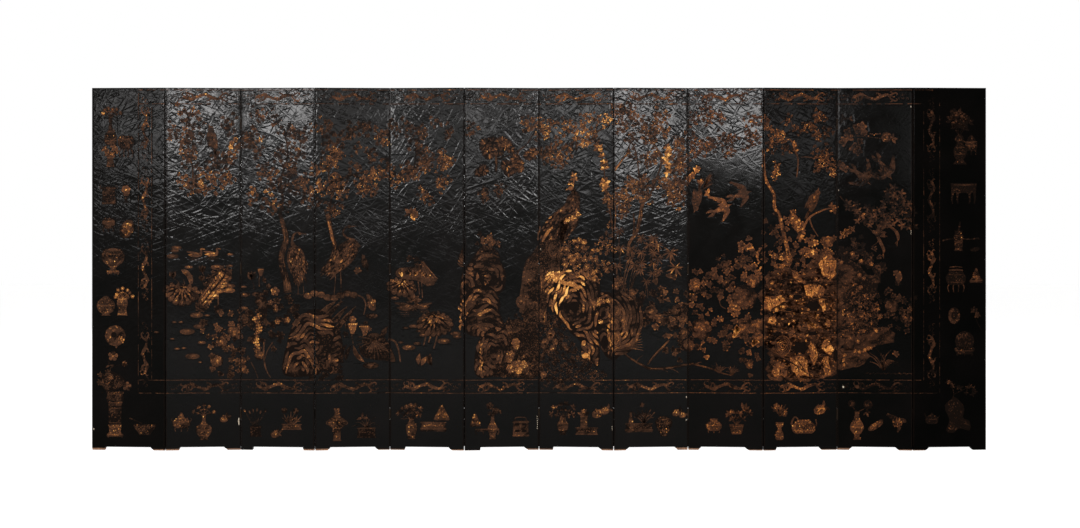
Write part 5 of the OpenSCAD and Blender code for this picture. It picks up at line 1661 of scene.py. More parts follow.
def leaf_11():
    """Swallows, a spray of stars and long tailed birds over dark rocks, and antiques."""
    for spot, size, turn in ((4500+1890j, 66, 20), (4530+1900j, 60, 40), (4480+1880j, 56, 190),
            (4545+1885j, 44, -30), (4455+1815j, 60, 150), (4485+1800j, 60, -40), (4510+1780j, 56, -50),
            (4470+1830j, 50, 80), (4520+1820j, 44, 10)):
        leaf(spot, size, turn, vary(0.3, 0.06), 0.2, 4)
    stroke([4420+1840j, 4520+1856j, 4600+1848j, 4660+1842j, 4700+1850j], [4, 4, 3, 3], 0.2, 0.12)
    for k in range(8):
        paint(put(ROUND, 4572 + 11 * k + 1j * (1862 + between(-8, 8)), 4.2), vary(0.4), 0.24)
    peony(4688+1848j, 62, 0.34)
    sprig(4720+1838j, 36, 10, 0.28, 3, 120, 0.5)
    sprig(4432+1960j, 30, 0, 0.16, 3)
    sprig(4474+1955j, 26, 60, 0.16, 3)
    leaf(4432+1650j, 56, 60, 0.3, 0.2, 4)
    leaf(4425+1680j, 40, 110, 0.26, 0.2, 3)
    flying(4538+1620j, 190, -42, 0.22)
    flying(4672+1668j, 210, -56, 0.22, -1)
    # spray of star flowers
    stroke([4416+1500j, 4460+1450j, 4520+1400j, 4600+1380j, 4700+1400j, 4800+1360j, 4850+1420j],
           [5, 6, 6, 5, 3], 0.16)
    stroke([4600+1380j, 4660+1450j, 4720+1530j], [5, 4, 2], 0.16)
    for spot in scattered([4414+1520j, 4480+1400j, 4560+1330j, 4720+1330j, 4840+1300j, 4860+1440j,
                           4800+1510j, 4760+1560j, 4680+1540j, 4640+1440j, 4560+1440j, 4480+1470j], 38):
        sprig(spot, between(22, 32), between(0, 360), vary(0.2, 0.08), 5, 290, 0.44)
    # two long tailed birds
    for at, turn, tail in ((4650+1280j, 150, [4632+1262j, 4650+1220j, 4668+1180j, 4672+1132j]),
                           (4684+1330j, 170, [4706+1320j, 4738+1290j, 4752+1250j, 4750+1204j])):
        for k in range(3):
            stroke([tail[0] + 5 * k, tail[1] + 7 * k, tail[2] + 5 * k, tail[3] - 6 * k + 8j * k],
                   [6, 6, 5, 2], vary(0.34, 0.06), 0.16)
        perched(at, 96, turn, 0.26, 1, 0.4)
        for k in range(5):
            frond(at + 6j, 62 - 5 * k, 40 + 22 * k, vary(0.22, 0.06), 0.24, 1.4, 0.2, 0.1)
    stroke([4560+1330j, 4600+1300j, 4640+1240j, 4600+1200j], [4, 4, 3, 2], 0.16)
    for k in range(7):
        sprig(4430 + 10 * k + 1j * (1270 + 6 * k), 28, 30 * k, vary(0.6, 0.1), 4, 240, 0.5)
    bush([4440+1230j, 4470+1200j, 4540+1220j, 4580+1180j, 4440+1160j, 4500+1150j, 4580+1120j, 4620+1110j,
          4640+1070j, 4560+1080j, 4480+1100j, 4620+1150j], 68, 0.13, 0.1)
    for spot in (4490+1160j, 4540+1115j, 4530+1035j, 4532+1033j, 4424+1112j, 4600+1100j,
                 4530+960j, 4555+1015j):
        blossom(spot, 26, 0.6, 5, 0.5)
    # dark rocks in bands, with small gilt flowers
    for points in (
            [4400+1120j, 4460+1136j, 4530+1090j, 4570+1040j, 4650+1030j, 4650+990j, 4560+985j, 4402+970j],
            [4404+975j, 4480+985j, 4560+990j, 4640+985j, 4620+930j, 4560+880j, 4470+850j, 4404+860j],
            [4404+850j, 4450+860j, 4520+810j, 4560+740j, 4500+690j, 4404+680j],
            [4440+690j, 4500+720j, 4600+728j, 4690+730j, 4740+690j, 4730+640j, 4640+620j, 4560+600j,
             4440+590j],
            [4404+600j, 4470+610j, 4560+590j, 4590+550j, 4540+500j, 4404+470j]):
        plane(points, vary(0.16, 0.03), 0.12)
    for spot in scattered([4404+950j, 4520+980j, 4650+900j, 4640+760j, 4560+700j, 4404+640j], 40):
        cluster(spot, 42, vary(0.14, 0.07), 3)
    for spot in scattered([4404+960j, 4520+980j, 4640+900j, 4640+760j, 4560+700j, 4404+640j], 34):
        sprig(spot, between(12, 20), between(0, 360), vary(0.4, 0.14), 4, 280, 0.5)
    for k in range(18):
        sprig(4412 + between(0, 20) + 1j * (940 - 17 * k), between(18, 26), between(0, 360),
              vary(0.4, 0.14), 4, 250, 0.5)
    for spot in (4530+1033j, 4538+962j, 4555+705j, 4627+706j, 4520+640j, 4562+592j, 4580+600j, 4596+606j,
                 4506+584j, 4530+580j, 4444+560j, 4440+530j, 4440+500j):
        blossom(spot, 24, 0.6, 5, 0.5)
    # flowers on the right
    bush([4716+980j, 4768+1010j, 4790+930j, 4716+905j, 4700+845j, 4760+880j, 4800+850j, 4740+800j, 4790+780j,
          4720+770j, 4800+740j, 4830+860j], 66, 0.25, 0)
    peony(4717+852j, 82, 0.32, 0.34)
    frond(4756+985j, 76, 82, 0.36, 0.34, 2.5, 0.5)
    frond(4760+985j, 66, 100, 0.3, 0.36, 2.5, 0.4)
    peony(4796+780j, 60, 0.34, 0.34)
    # orchid
    for k in range(13):
        lean = 32 + 9.6 * k
        far = between(90, 150)
        tip = 4672+470j + far * ray(lean)
        if lean < 70:
            tip -= 26j
        stroke([4672+470j, 4672+470j + 0.6 * far * ray(lean + (14 if lean < 90 else -10)), tip],
               [4, 5.5, 1.5], vary(0.24, 0.07), 0.14)
    leaf(4735+560j, 40, 50, 0.46)
    for k in range(9):
        stroke([4560 + 30 * k + 448j, 4580 + 30 * k + 456j, 4600 + 30 * k + 450j], [2, 5, 2], 0.1, 0.06, 3)
    # antiques
    vessel(4516+62j, [(0, 24), (10, 18), (26, 14), (40, 26), (66, 40), (92, 36), (126, 16), (158, 12),
                      (164, 16)], 0.38, (40, 76, 110), 0.9)
    stroke([4516+224j, 4500+244j, 4486+262j], [4, 4, 3], 0.26)
    stroke([4516+224j, 4550+240j, 4580+258j], [4, 4, 3], 0.26)
    peony(4486+274j, 44, 0.26)
    peony(4580+270j, 54, 0.26)
    sprig(4570+224j, 30, -30, 0.22, 4)
    roll = spline([4582+126j, 4600+150j, 4650+180j, 4664+176j, 4664+154j, 4622+122j, 4592+114j], 4, True)
    inlay(roll, 0.26, 0.16)
    feathers(roll * 0.9 + 0.1 * (4622+148j), 14, 32, 0.34, 0.3)
    for points in ([4690+214j, 4722+196j, 4752+180j, 4764+140j, 4752+108j],
                   [4752+180j, 4788+176j, 4800+166j]):
        stroke(points, [14, 26, 24, 20, 10], 0.22, 0.14)
    feathers(put(OVAL, 4752+160j, 30), 14, 80, 0.3, 0.3)


def leaf_12():
    """The right column of antiques: vases, a table, censers, a mirror and a branch."""
    # vase of flowers, with a small censer
    vessel(5122+1690j, [(0, 40), (8, 36), (26, 22), (50, 34), (86, 36), (112, 22), (138, 15), (150, 24)],
           0.14, (60, 100))
    posy(5118+1850j, 150, 0.14, 7, 56, 0.4)
    peony(5118+1838j, 52, 0.3)
    peony(5098+1982j, 46, 0.3)
    sprig(5140+1930j, 40, 60, 0.3, 5, 240)
    vessel(5190+1770j, [(0, 22), (12, 32), (36, 36), (50, 28), (70, 20), (88, 6)], 0.2, (30, 52), 0.8)
    feet(5190+1778j, 26, 34, 0.2)
    stroke([5134+1826j, 5176+1818j, 5226+1822j], [6, 9, 6], 0.34, 0.24)
    # table
    inlay([5068+1576j, 5072+1520j, 5216+1520j, 5220+1576j], 0.14, 0.14)
    stroke([5086+1568j, 5144+1566j, 5204+1568j], [6, 7, 6], 0.44, 0.3)
    for x in (5078, 5110, 5178, 5208):
        stroke([x + 1522j, x + (4 if x > 5144 else -4) + 1485j, x + 1455j], [16, 11, 5], 0.22, 0.15)
    for k in range(9):
        dab(5084 + 14 * k + 1538j, 13, between(-50, 50), vary(0.3), 0.28, 0.5)
    # vase with a sceptre and a plume
    vessel(5114+1178j, [(0, 26), (10, 22), (50, 24), (84, 28), (100, 20), (116, 24)], 0.24,
           (10, 50, 90), 0.8)
    stroke([5018+1238j, 5060+1246j, 5120+1250j, 5180+1246j, 5236+1252j], [9, 6, 6, 6, 11], 0.32, 0.3)
    stroke([5114+1290j, 5118+1320j, 5124+1350j], [12, 12, 5], 0.38)
    inlay(put(spline([0.5, 0.2j + 0.1, -0.5, -0.2j], 3, True), 5212+1186j, 56, 8), 0.16, 0.14)
    # footed censer and small pot
    vessel(5098+978j, [(0, 40), (16, 54), (44, 58), (66, 46), (76, 40)], 0.16, (16, 60), 0.6)
    feet(5098+990j, 44, 56, 0.36, 4)
    stroke([5056+1062j, 5098+1066j, 5140+1062j], [9, 12, 9], 0.44, 0.3)
    stroke([5060+1080j, 5098+1084j, 5136+1080j], [5, 6, 5], 0.36, 0.3)
    vessel(5220+990j, [(0, 36), (12, 40), (30, 24), (52, 16), (74, 8), (84, 5)], 0.34, (12, 34), 0.8)
    # ring, whisk, mirror
    inlay(put(OVAL.real * 0.74 + 1j * OVAL.imag, 5087+794j, 48), 0.28, 0.14)
    paint(put(OVAL.real * 0.74 + 1j * OVAL.imag, 5087+794j, 24), -1, 0.3)
    paint(put(OVAL.real * 0.6 + 1j * OVAL.imag, 5087+796j, 9), 0.3, 0.4)
    for k in range(12):
        dab(5087+794j + 34 * (0.74 * math.cos(k * 0.52) + 1j * math.sin(k * 0.52)), 14, 30 * k + 60,
            vary(0.4), 0.3, 0.45, 0.1)
    leaf(5208+812j, 44, 90, 0.28)
    leaf(5214+800j, 36, -10, 0.36)
    stroke([5212+790j, 5228+752j, 5254+706j], [3, 3, 2], 0.2)
    inlay(put(OVAL, 5150+645j, 56), 0.16, 0.14)
    feathers(put(OVAL, 5150+645j, 42), 18, 90, 0.22, 0.28)
    vessel(5150+566j, [(0, 50), (10, 46), (22, 58), (36, 58), (44, 44)], 0.24, (22,), 0.9)
    feet(5150+574j, 42, 18, 0.24)
    # branch over a lidded vase on a rock
    stroke([5078+300j, 5084+340j, 5070+380j, 5050+404j], [4, 4, 3, 2], 0.2)
    stroke([5086+330j, 5130+350j, 5180+372j, 5218+350j], [3, 3, 2], 0.14)
    for spot in (5052+404j, 5064+396j, 5078+384j, 5110+372j, 5124+366j, 5168+370j, 5184+380j, 5204+366j,
                 5216+344j, 5160+340j, 5200+330j):
        sprig(spot, between(14, 22), between(0, 360), vary(0.2, 0.1), 4, 280, 0.4)
    blossom(5056+402j, 26, 0.44)
    inlay(spline([5034+266j, 5070+300j, 5088+312j, 5110+298j, 5142+262j, 5120+246j, 5056+246j], 4,
                 True), 0.2, 0.14)
    feathers(put(OVAL.real + 0.5j * OVAL.imag, 5088+272j, 36), 16, 90, 0.26, 0.28)
    rock([5040+250j, 5140+250j, 5140+190j, 5176+170j, 5176+120j, 5120+130j, 5080+106j, 5044+120j, 5060+180j],
         [[5090+200j, 1, 1.2, 0], [5140+150j, 1, 1, 8], [5070+140j, 1, 1, 0]], 0.36, 10)
    vessel(4953+158j, [(0, 22), (10, 34), (30, 36), (44, 26), (52, 12), (60, 6)], 0.26, (28,), 0.8)
    stroke([4920+196j, 4912+212j, 4908+222j], [5, 5, 3], 0.26)
    stroke([4984+188j, 4996+200j, 5000+206j], [6, 5, 3], 0.26)


# ---------------------------------------------------------------- assemble
def dull_shaded_edges():
    """The lacquer along the upright arrises of each leaf, rubbed dull: dark strips that are also painted
    shade along the joints.
    """
    step = 58
    for number in range(1, LEAVES + 1):
        for side in (-1, 1):
            edge = leaf_middle(number) + side * GROUND_HALF
            for low in np.arange(FOOT_HEIGHT + 4, LEAF_HEIGHT - 40, step):
                inner = edge - side * between(2.6, 4.6)
                high = min(low + step, LEAF_HEIGHT - 3)
                bulge = inner - side * between(-1, 1) + 0.5j * (low + high)
                paint([edge + 1j * low, inner + 1j * low, bulge, inner + 1j * high,
                       edge + 1j * high], -1, 0.05)


def chips():
    """Spots on the arrises where the lacquer has flaked off its pale ground."""
    for across, low, high, width in ((12, 118, 130, 7), (868, 146, 192, 8), (2630, 120, 204, 4),
            (3071, 118, 146, 4), (3511, 306, 318, 5), (3510, 172, 184, 5), (4436, 366, 380, 11),
            (4830, 2022, 2034, 4), (4831, 1272, 1302, 4), (2649, 1180, 1192, 3), (4409, 1530, 1540, 4),
            (1766, 1800, 1812, 3)):
        spots = 1 if high - low < 60 and width > 4 else int((high - low) / 14) + 1
        for k in range(spots):
            tall = (high - low) / spots * (1 if spots == 1 else 0.6)
            middle = across + between(-1, 1) + 1j * (low + (k + 0.5) * (high - low) / spots)
            turn = np.linspace(0, 2 * math.pi, 11, endpoint=False)
            wobble = between(0.7, 1.15, 11)
            paint(middle + 0.5 * wobble * (width * np.cos(turn) + 1j * tall * np.sin(turn)), CHIP, 0.3)


def split_paint():
    """The paint of each leaf, clipped to it, in millimetres from the leaf's middle."""
    shares = {number: [] for number in range(1, LEAVES + 1)}
    for order, (outline, gilt, lift) in enumerate(PAINT):
        left, right = outline.real.min(), outline.real.max()
        first, last = int(left // LEAF_STEP) + 1, int(right // LEAF_STEP) + 1
        for number in range(max(first, 1), min(last, LEAVES) + 1):
            low, high = leaf_middle(number) - GROUND_HALF, leaf_middle(number) + GROUND_HALF
            piece = outline if left >= low and right <= high else clip(outline, low, high)
            if piece is None or np.ptp(piece.real) < NARROWEST_PAINT:
                continue
            area = 0.5 * np.imag(np.sum(np.conj(piece) * np.roll(piece, -1)))
            if abs(area) < SMALLEST_PAINT:
                continue
            piece = piece if area > 0 else piece[::-1]
            darkened_gilt = gilt - GILT_DARKENED.get(number, 0) - FOOT_DARKENED * (piece.imag.mean() < FOOT_ZONE)
            level = PAINT_LEVEL + lift + PAINT_STEP * (order % PAINT_STEPS)
            shares[number].append((piece - leaf_middle(number), darkened_gilt, level))
    return shares


def make_object(number, kind, vertices, faces, material, smooth=True):
    """A piece that rides on its leaf."""
    name = f"leaf_{number:02d}_{kind}"
    mesh = bpy.data.meshes.new(name)
    mesh.from_pydata(vertices, [], faces)
    mesh.validate()
    mesh.materials.append(material)
    if smooth:
        mesh.shade_smooth()
    piece = bpy.data.objects.new(name, mesh)
    bpy.context.scene.collection.objects.link(piece)
    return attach(piece, f"leaf_{number:02d}")


def painted_cells(shapes, xs, zs):
    """Cells of a leaf's grid that paint covers."""
    covered = np.zeros((len(zs), len(xs)))
    for outline, *_ in shapes:
        left, right = np.searchsorted(xs, [outline.real.min(), outline.real.max()])
        low, high = np.searchsorted(zs, [outline.imag.min(), outline.imag.max()])
        covered[max(low - 1, 0):high + 1, max(left - 1, 0):right + 1] = 1
    return covered


def ground(number, front, grid, shapes, material):
    """The crumpled lacquer of one face, as a closed sheet that dies out at the arrises."""
    half = GROUND_HALF
    low, high = FOOT_HEIGHT + GROUND_MARGIN, LEAF_HEIGHT - GROUND_MARGIN
    xs = np.linspace(-half, half, int(2 * half / grid) + 1)
    zs = np.linspace(low, high, int((high - low) / grid) + 1)
    x, z = np.meshgrid(xs, zs)
    place = x + leaf_middle(number)
    height = GROUND_LEVEL + CRUMPLE * crumple(place if front else place - BACK_PATTERN, z)
    height = height * (1 - PAINTED_SMOOTH * painted_cells(shapes, xs, zs)) if shapes else height
    rim = np.minimum(np.minimum(x + half, half - x), np.minimum(z - low, high - z))
    height = np.clip(GROUND_RANGE[0] + height * np.clip(rim / GROUND_RIM, 0, 1), *GROUND_RANGE)
    rows, columns = x.shape
    top = on_leaf(number, x, height, z, front)
    index = np.arange(rows * columns).reshape(rows, columns)
    faces = np.stack([index[:-1, :-1], index[:-1, 1:], index[1:, 1:], index[1:, :-1]], -1).reshape(-1, 4)
    ring = np.concatenate([index[0], index[1:, -1], index[-1, -2::-1], index[-2:0:-1, 0]])
    under = on_leaf(number, x.ravel()[ring], np.full(len(ring), PAINT_ROOT), z.ravel()[ring], front)
    base = rows * columns + np.arange(len(ring))
    skirt = np.stack([ring, base, np.roll(base, -1), np.roll(ring, -1)], -1)
    faces = faces.tolist() + skirt.tolist() + [base[::-1].tolist()]
    if not front:
        faces = [face[::-1] for face in faces]
    kind = "front_ground" if front else "back_ground"
    return make_object(number, kind, np.concatenate([top, under]).tolist(), faces, material)


def picture(number, shapes, material, kind="picture"):
    """All the paint of one leaf as low closed slabs, with how gilt each is."""
    vertices, faces, gilts = [], [], []
    count = 0
    for outline, gilt, level in shapes:
        n = len(outline)
        vertices.append(on_leaf(number, outline.real, np.full(n, level), outline.imag))
        vertices.append(on_leaf(number, outline.real, np.full(n, PAINT_ROOT), outline.imag))
        faces.append(list(range(count, count + n)))
        faces.append(list(range(count + 2 * n - 1, count + n - 1, -1)))
        for k in range(n):
            m = (k + 1) % n
            faces.append([count + k, count + n + k, count + n + m, count + m])
        gilts.append(np.full(2 * n, gilt))
        count += 2 * n
    piece = make_object(number, kind, np.concatenate(vertices).tolist(), faces, material, False)
    gilt = piece.data.attributes.new("gilt", "FLOAT", "POINT")
    gilt.data.foreach_set("value", np.concatenate(gilts).astype(np.float32))
    return piece


def bead(joint, material):
    """A lip of lacquer on the arris of a leaf, round the axis of its hinges, that closes the joint."""
    front = joint % 2 == 0
    half = LEAF_WIDTH / 2
    middle = half + 1 + 1.5j
    corner = half - 1.6
    root = np.array([half - 0.3 - 1.2j, corner - 0.9j, corner + 0.3j])
    ends = [height + side * HINGE_REACH for height in HINGE_HEIGHTS for side in (-1, 1)]
    stops = [FOOT_HEIGHT + 3, *ends, LEAF_HEIGHT - 3]
    vertices, faces = [], []
    for low, high in zip(stops[::2], stops[1::2]):
        radius = THIN_BEAD if joint in THIN_AT_TOP and high > HINGE_HEIGHTS[-1] else BEAD_RADIUS
        outline = np.concatenate([middle + radius * arc(200, -70, 14), root])
        n = len(outline)
        first = len(vertices)
        for z in (low, high):
            vertices += on_leaf(joint, outline.real, outline.imag, np.full(n, z), front).tolist()
        faces += [[first + k for k in range(n)], [first + n + k for k in range(n)][::-1]]
        faces += [[first + k, first + n + k, first + n + (k + 1) % n, first + (k + 1) % n] for k in range(n)]
    if front:
        faces = [face[::-1] for face in faces]
    return make_object(joint, "bead", vertices, faces, material, smooth=False)


# ---------------------------------------------------------------- materials
def node(tree, kind, inputs=(), **settings):
    """Adds a node, with values or links for some of its inputs."""
    made = tree.nodes.new(kind)
    for name, value in settings.items():
        setattr(made, name, value)
    return feed(tree, made, inputs)


def feed(tree, made, inputs):
    """Gives the inputs of a node their values or links."""
    for name, value in dict(inputs).items():
        if isinstance(value, bpy.types.NodeSocket):
            tree.links.new(value, made.inputs[name])
        else:
            made.inputs[name].default_value = value
    return made


def new_material(name):
    """A material with only its shader, and the tree to build the rest in."""
    material = bpy.data.materials.new(name)
    material.use_nodes = True
    tree = material.node_tree
    tree.nodes.clear()
    shader = node(tree, "ShaderNodeBsdfPrincipled")
    node(tree, "ShaderNodeOutputMaterial", {"Surface": shader.outputs[0]})
    return material, tree, shader


def srgb(red, green, blue):
    """A linear colour from the 0 to 255 values it renders as."""
    return tuple(((c / 255 + 0.055) / 1.055) ** 2.4 if c > 10 else c / 255 / 12.92
                 for c in (red, green, blue))


def ramp(tree, factor, stops):
    """A colour that runs through stops of (place, red, green, blue)."""
    made = node(tree, "ShaderNodeValToRGB", {"Fac": factor})
    elements = made.color_ramp.elements
    while len(elements) < len(stops):
        elements.new(0.5)
    for element, (place, *colour) in zip(elements, stops):
        element.position = place
        element.color = (*srgb(*colour), 1)
    return made.outputs["Color"]


def map_range(tree, value, low, high, least, most):
    """A value between low and high, mapped from least to most."""
    return node(tree, "ShaderNodeMapRange", {"Value": value, "From Min": low, "From Max": high,
                                             "To Min": least, "To Max": most}).outputs[0]


def calc(tree, operation, a, b=0.5):
    """One step of arithmetic."""
    return node(tree, "ShaderNodeMath", {0: a, 1: b}, operation=operation).outputs[0]


def place_on_leaf(tree):
    """The place of a point in the frame, with the screen at rest, in metres."""
    return node(tree, "ShaderNodeTexCoord").outputs["Object"]


def height_on_leaf(tree):
    """The height of a point over the floor, in metres."""
    return node(tree, "ShaderNodeSeparateXYZ", {"Vector": place_on_leaf(tree)}).outputs["Z"]


def stretched_noise(tree, scale, turn, stretch, detail=2.0, distortion=0.6):
    """Noise over the face of a leaf, drawn out along a line that leans by turn degrees."""
    rotation = (0, math.radians(turn), 0)
    turned = node(tree, "ShaderNodeMapping", {"Vector": place_on_leaf(tree),
                                              "Rotation": rotation}).outputs[0]
    drawn = node(tree, "ShaderNodeMapping", {"Vector": turned, "Scale": (stretch, 1, 1)}).outputs[0]
    return node(tree, "ShaderNodeTexNoise", {"Vector": drawn, "Scale": scale, "Detail": detail,
                                             "Distortion": distortion, "Roughness": 0.5}).outputs["Fac"]


def bumps(tree, shader, strength, distance, height):
    """Fine relief, at most a distance in metres high."""
    bump = node(tree, "ShaderNodeBump", {"Strength": strength, "Distance": distance, "Height": height})
    feed(tree, shader, {"Normal": bump.outputs[0]})


def crumple_bump(tree, shader, calm, creased):
    """Fine creases over those of the mesh, hardly any at the calm height, all at the creased one."""
    fade = map_range(tree, height_on_leaf(tree), calm, creased, 0.22, 1.0)
    total = None
    for scale, turn, stretch in ((33, 21, 0.1), (30, -19, 0.1), (31, 57, 0.12), (29, -43, 0.12)):
        wave = stretched_noise(tree, scale, turn, stretch, 0.0, 0.2)
        crest = calc(tree, "ABSOLUTE", calc(tree, "SUBTRACT", wave, 0.5))
        crest = calc(tree, "SUBTRACT", 1.0, calc(tree, "MULTIPLY", crest, 11.0))
        crest = calc(tree, "MAXIMUM", crest, 0.0)
        total = crest if total is None else calc(tree, "MAXIMUM", total, crest)
    bumps(tree, shader, 1.0, 0.0005, calc(tree, "MULTIPLY", total, fade))


def lacquer(name, shine, calm=0.7, creased=1.5, rub=1.0, tone=1.0, low=0.75, dim=0.6, bright=1.2):
    """Black lacquer with crazed creases, duller by the factor low up to the height dim, and as shiny as
    shine from the height bright, which paints shade on its lower part; rub dulls it all and tone lightens
    it."""
    material, tree, shader = new_material(name)
    cloud = stretched_noise(tree, 3.0, 0, 1.0, 4.0)
    grime = stretched_noise(tree, 11.0, 35, 0.7, 5.0)
    feed(tree, shader, {
        "Base Color": ramp(tree, cloud, [(0.35, 4 * tone, 4 * tone, 3 * tone),
                                         (0.7, 9 * tone, 7 * tone, 6 * tone)]),
        "Roughness": map_range(tree, grime, 0.3, 0.7, 0.09 * rub, 0.17 * rub),
        "Specular IOR Level": map_range(tree, height_on_leaf(tree), dim, bright, low * shine, shine),
        "Specular Tint": VARNISH_TINT})
    crumple_bump(tree, shader, calm, creased)
    return material


def gilding(name, warm=1.0):
    """Brown lacquer and gold, as gilt as the attribute says, mottled, and yellower by the factor warm."""
    material, tree, shader = new_material(name)
    level = node(tree, "ShaderNodeAttribute", attribute_name="gilt").outputs["Fac"]
    for scale, turn, stretch, detail, amount in ((26.0, 20, 0.6, 6.0, 1.0), (4.5, -20, 0.8, 3.0, 0.7)):
        patch = calc(tree, "SUBTRACT", stretched_noise(tree, scale, turn, stretch, detail), 0.53)
        level = calc(tree, "ADD", level, calc(tree, "MULTIPLY", patch, amount))
    speck = stretched_noise(tree, 120.0, 0, 1.0, 2.0)
    level = calc(tree, "ADD", level, map_range(tree, speck, 0.57, 0.68, 0.0, 0.36))
    stops = ((0.0, 17, 11, 8), (0.08, 42, 28, 20), (0.32, 65, 43, 31), (0.5, 88, 56, 37),
             (0.68, 124, 78, 44), (0.85, 180, 118, 60), (1.0, 234, 174, 98))
    colours = [(place, red, green * (1 + warm) / (2 * warm), blue / warm)
               for place, red, green, blue in stops]
    feed(tree, shader, {"Base Color": ramp(tree, level, colours), "Metallic": 0.0,
                        "Specular IOR Level": 0.014, "Roughness": 0.3})
    crumple_bump(tree, shader, 0.7, 1.5)
    return material


def chalk_ground():
    """The pale ground under the lacquer, mottled with dirt."""
    material, tree, shader = new_material("chalk_ground")
    dirt = stretched_noise(tree, 90.0, 0, 1.0, 4.0)
    feed(tree, shader, {"Base Color": ramp(tree, dirt, [(0.35, 120, 104, 88), (0.65, 196, 182, 160)]),
                        "Roughness": 0.8})
    bumps(tree, shader, 0.4, 0.0003, dirt)
    return material


def aged_wood():
    """Bare softwood, brown and stained, where the soles of the feet are worn."""
    material, tree, shader = new_material("bare_wood")
    grain = stretched_noise(tree, 160.0, 90, 0.06, 4.0)
    stain = stretched_noise(tree, 14.0, 0, 1.0, 3.0)
    tone = calc(tree, "ADD", calc(tree, "MULTIPLY", grain, 0.6), calc(tree, "MULTIPLY", stain, 0.4))
    browns = [(0.3, 58, 38, 28), (0.5, 112, 78, 56), (0.7, 160, 122, 92)]
    feed(tree, shader, {"Base Color": ramp(tree, tone, browns), "Roughness": 0.75})
    bumps(tree, shader, 0.4, 0.0005, grain)
    return material


def old_metal(name, dark, light, metallic):
    """Tarnished metal between two colours."""
    material, tree, shader = new_material(name)
    patina = stretched_noise(tree, 220.0, 0, 1.0, 5.0)
    feed(tree, shader, {"Base Color": ramp(tree, patina, [(0.35, *dark), (0.65, *light)]),
                        "Roughness": map_range(tree, patina, 0.0, 1.0, 0.6, 0.9),
                        "Specular IOR Level": 0.1, "Metallic": metallic})
    bumps(tree, shader, 0.3, 0.0003, patina)
    return material


def seen_rays(tree):
    """1 for the rays of the camera, of reflections and through glass, 0 for the rest."""
    path = node(tree, "ShaderNodeLightPath").outputs
    seen = calc(tree, "MAXIMUM", path["Is Camera Ray"], path["Is Glossy Ray"])
    return calc(tree, "MAXIMUM", seen, path["Is Transmission Ray"])


def pale_floor():
    """A floor as white as the background, that keeps the shadow of the screen."""
    material, tree, shader = new_material("pale_floor")
    feed(tree, shader, {"Base Color": (0.9, 0.9, 0.9, 1), "Roughness": 0.9, "Emission Color": (1, 1, 1, 1),
                        "Emission Strength": calc(tree, "MULTIPLY", seen_rays(tree), FLOOR_GLOW)})
    return material


# ---------------------------------------------------------------- studio
def place_camera(scene):
    """The camera, level and square to the screen, its view moved down by a shift."""
    camera = bpy.data.cameras.new("camera")
    camera.sensor_width = SENSOR
    camera.lens = SENSOR * CAMERA_DISTANCE / VIEW_WIDTH
    camera.shift_y = (VIEW_MIDDLE[1] - CAMERA_HEIGHT) / VIEW_WIDTH
    eye = bpy.data.objects.new("camera", camera)
    eye.location = (VIEW_MIDDLE[0], -CAMERA_DISTANCE, CAMERA_HEIGHT)
    eye.rotation_euler = (math.pi / 2, 0, 0)
    scene.collection.objects.link(eye)
    scene.camera = eye


def lay_floor(scene):
    """A wide pale floor that belongs to the stage."""
    mesh = bpy.data.meshes.new("floor")
    corners = [(x * FLOOR_REACH, y * FLOOR_REACH, 0) for x, y in ((-1, -1), (1, -1), (1, 1), (-1, 1))]
    mesh.from_pydata(corners, [], [(0, 1, 2, 3)])
    floor = bpy.data.objects.new("floor", mesh)
    scene.collection.objects.link(floor)
    mesh.materials.append(pale_floor())


def light_background(scene):
    """White where it is seen, and a dim warm fill for the rest of the light."""
    world = bpy.data.worlds.new("studio")
    scene.world = world
    world.use_nodes = True
    tree = world.node_tree
    tree.nodes.clear()
    fill = node(tree, "ShaderNodeBackground", {"Color": (1.0, 0.98, 0.95, 1), "Strength": 0.1})
    white = node(tree, "ShaderNodeBackground", {"Color": (1, 1, 1, 1), "Strength": 1.0})
    mix = node(tree, "ShaderNodeMixShader", {0: seen_rays(tree), 1: fill.outputs[0], 2: white.outputs[0]})
    node(tree, "ShaderNodeOutputWorld", {"Surface": mix.outputs[0]})


def area_light(scene, name, place, target, width, height, power):
    """A rectangular lamp that faces its target."""
    light = bpy.data.lights.new(name, "AREA")
    light.shape = "RECTANGLE"
    light.size, light.size_y, light.energy = width, height, power
    lamp = bpy.data.objects.new(name, light)
    lamp.location = place
    x, y, z = np.array(target) - np.array(place)
    lamp.rotation_euler = (math.atan2(math.hypot(x, y), -z), 0, math.atan2(y, x) - math.pi / 2)
    scene.collection.objects.link(lamp)


def studio():
    """Camera, floor, background and lamps."""
    scene = bpy.context.scene
    scene.view_settings.view_transform = "Standard"
    place_camera(scene)
    lay_floor(scene)
    light_background(scene)
    for lamp in LAMPS:
        area_light(scene, *lamp)


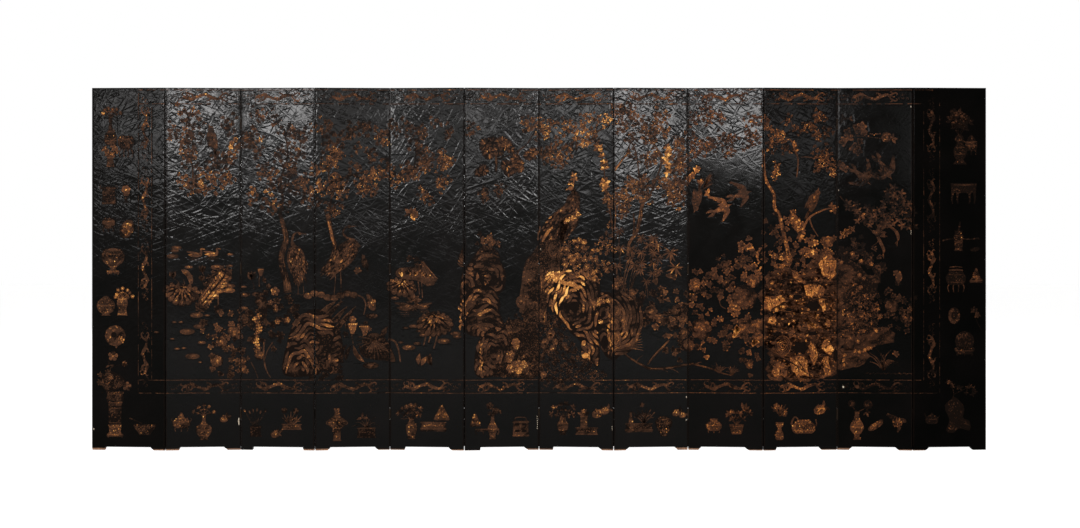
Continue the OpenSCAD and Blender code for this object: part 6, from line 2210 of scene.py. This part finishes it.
# ---------------------------------------------------------------- make it all
studio()
black = lacquer("black_lacquer", LACQUER_SHINE)
coats = {number: black for number in range(1, LEAVES + 1)}
# leaves 1 and 9 to 12 get copies of the lacquer that reflect less, over all or lower down, and 10 to 12 are
# darker in colour: painted shade on those leaves
coats[1] = lacquer("dull_shaded_lacquer", 0.05, low=0.4)
coats[9] = lacquer("calm_lacquer", LACQUER_SHINE, 1.64, 1.82, low=0.45, dim=1.5, bright=1.85)
coats[10] = lacquer("shaded_dull_calm_lacquer", 0.042, 1.4, 1.7, tone=0.8)
coats[11] = lacquer("shaded_dark_lacquer", 0.022, 2.2, 2.8, tone=0.9)
coats[12] = lacquer("shaded_darkest_lacquer", 0.012, 2.2, 2.8, tone=0.7)
back_coat = lacquer("back_lacquer", 0.11, -0.5, 0.2, rub=1.4, tone=2.0, low=1.0)
rubbed_black = lacquer("rubbed_black_lacquer", 0.03, rub=3.5)
gold, warm_gold = gilding("gilding"), gilding("warm_gilding", GOLD_WARMTH)
chalk = chalk_ground()
finishes = {"core": aged_wood(),
            "hinge_plates": old_metal("tarnished_brass", (14, 11, 9), (44, 33, 22), 0.25),
            "hinge_nails": old_metal("rusty_iron", (20, 14, 12), (48, 31, 23), 0.2)}
finishes["hinge_pins"] = finishes["hinge_plates"]
for name, obj in frame["nodes"].items():
    _, number, kind = name.split("_", 2)
    obj.data.materials.clear()
    obj.data.materials.append(coats[int(number)] if kind == "lacquer" else finishes[kind])

borders()
for draw in (leaf_1, leaf_2, leaf_3, leaf_4, leaf_5, leaf_6, leaf_7, leaf_8, leaf_9, leaf_10,
             leaf_11, leaf_12):
    draw()

dull_shaded_edges()
chips()
shares = split_paint()
for number in range(1, LEAVES + 1):
    ground(number, True, FRONT_GRID * COARSER_GRID.get(number, 1), shares[number], coats[number])
    ground(number, False, BACK_GRID, [], back_coat)
    painted = [shape for shape in shares[number] if shape[1] < CHIP - 1]
    layers = 1 + sum(4 * len(shape[0]) for shape in painted) // LARGEST_PIECE
    for layer in range(layers):
        kind = f"picture_{layer + 1}" if layer else "picture"
        picture(number, painted[layer::layers], gold if number < FIRST_WARM_LEAF else warm_gold, kind)
    bare = [shape for shape in shares[number] if shape[1] > CHIP - 1]
    if bare:
        picture(number, bare, chalk, "chips")

for number in range(1, LEAVES):
    bead(number, rubbed_black)
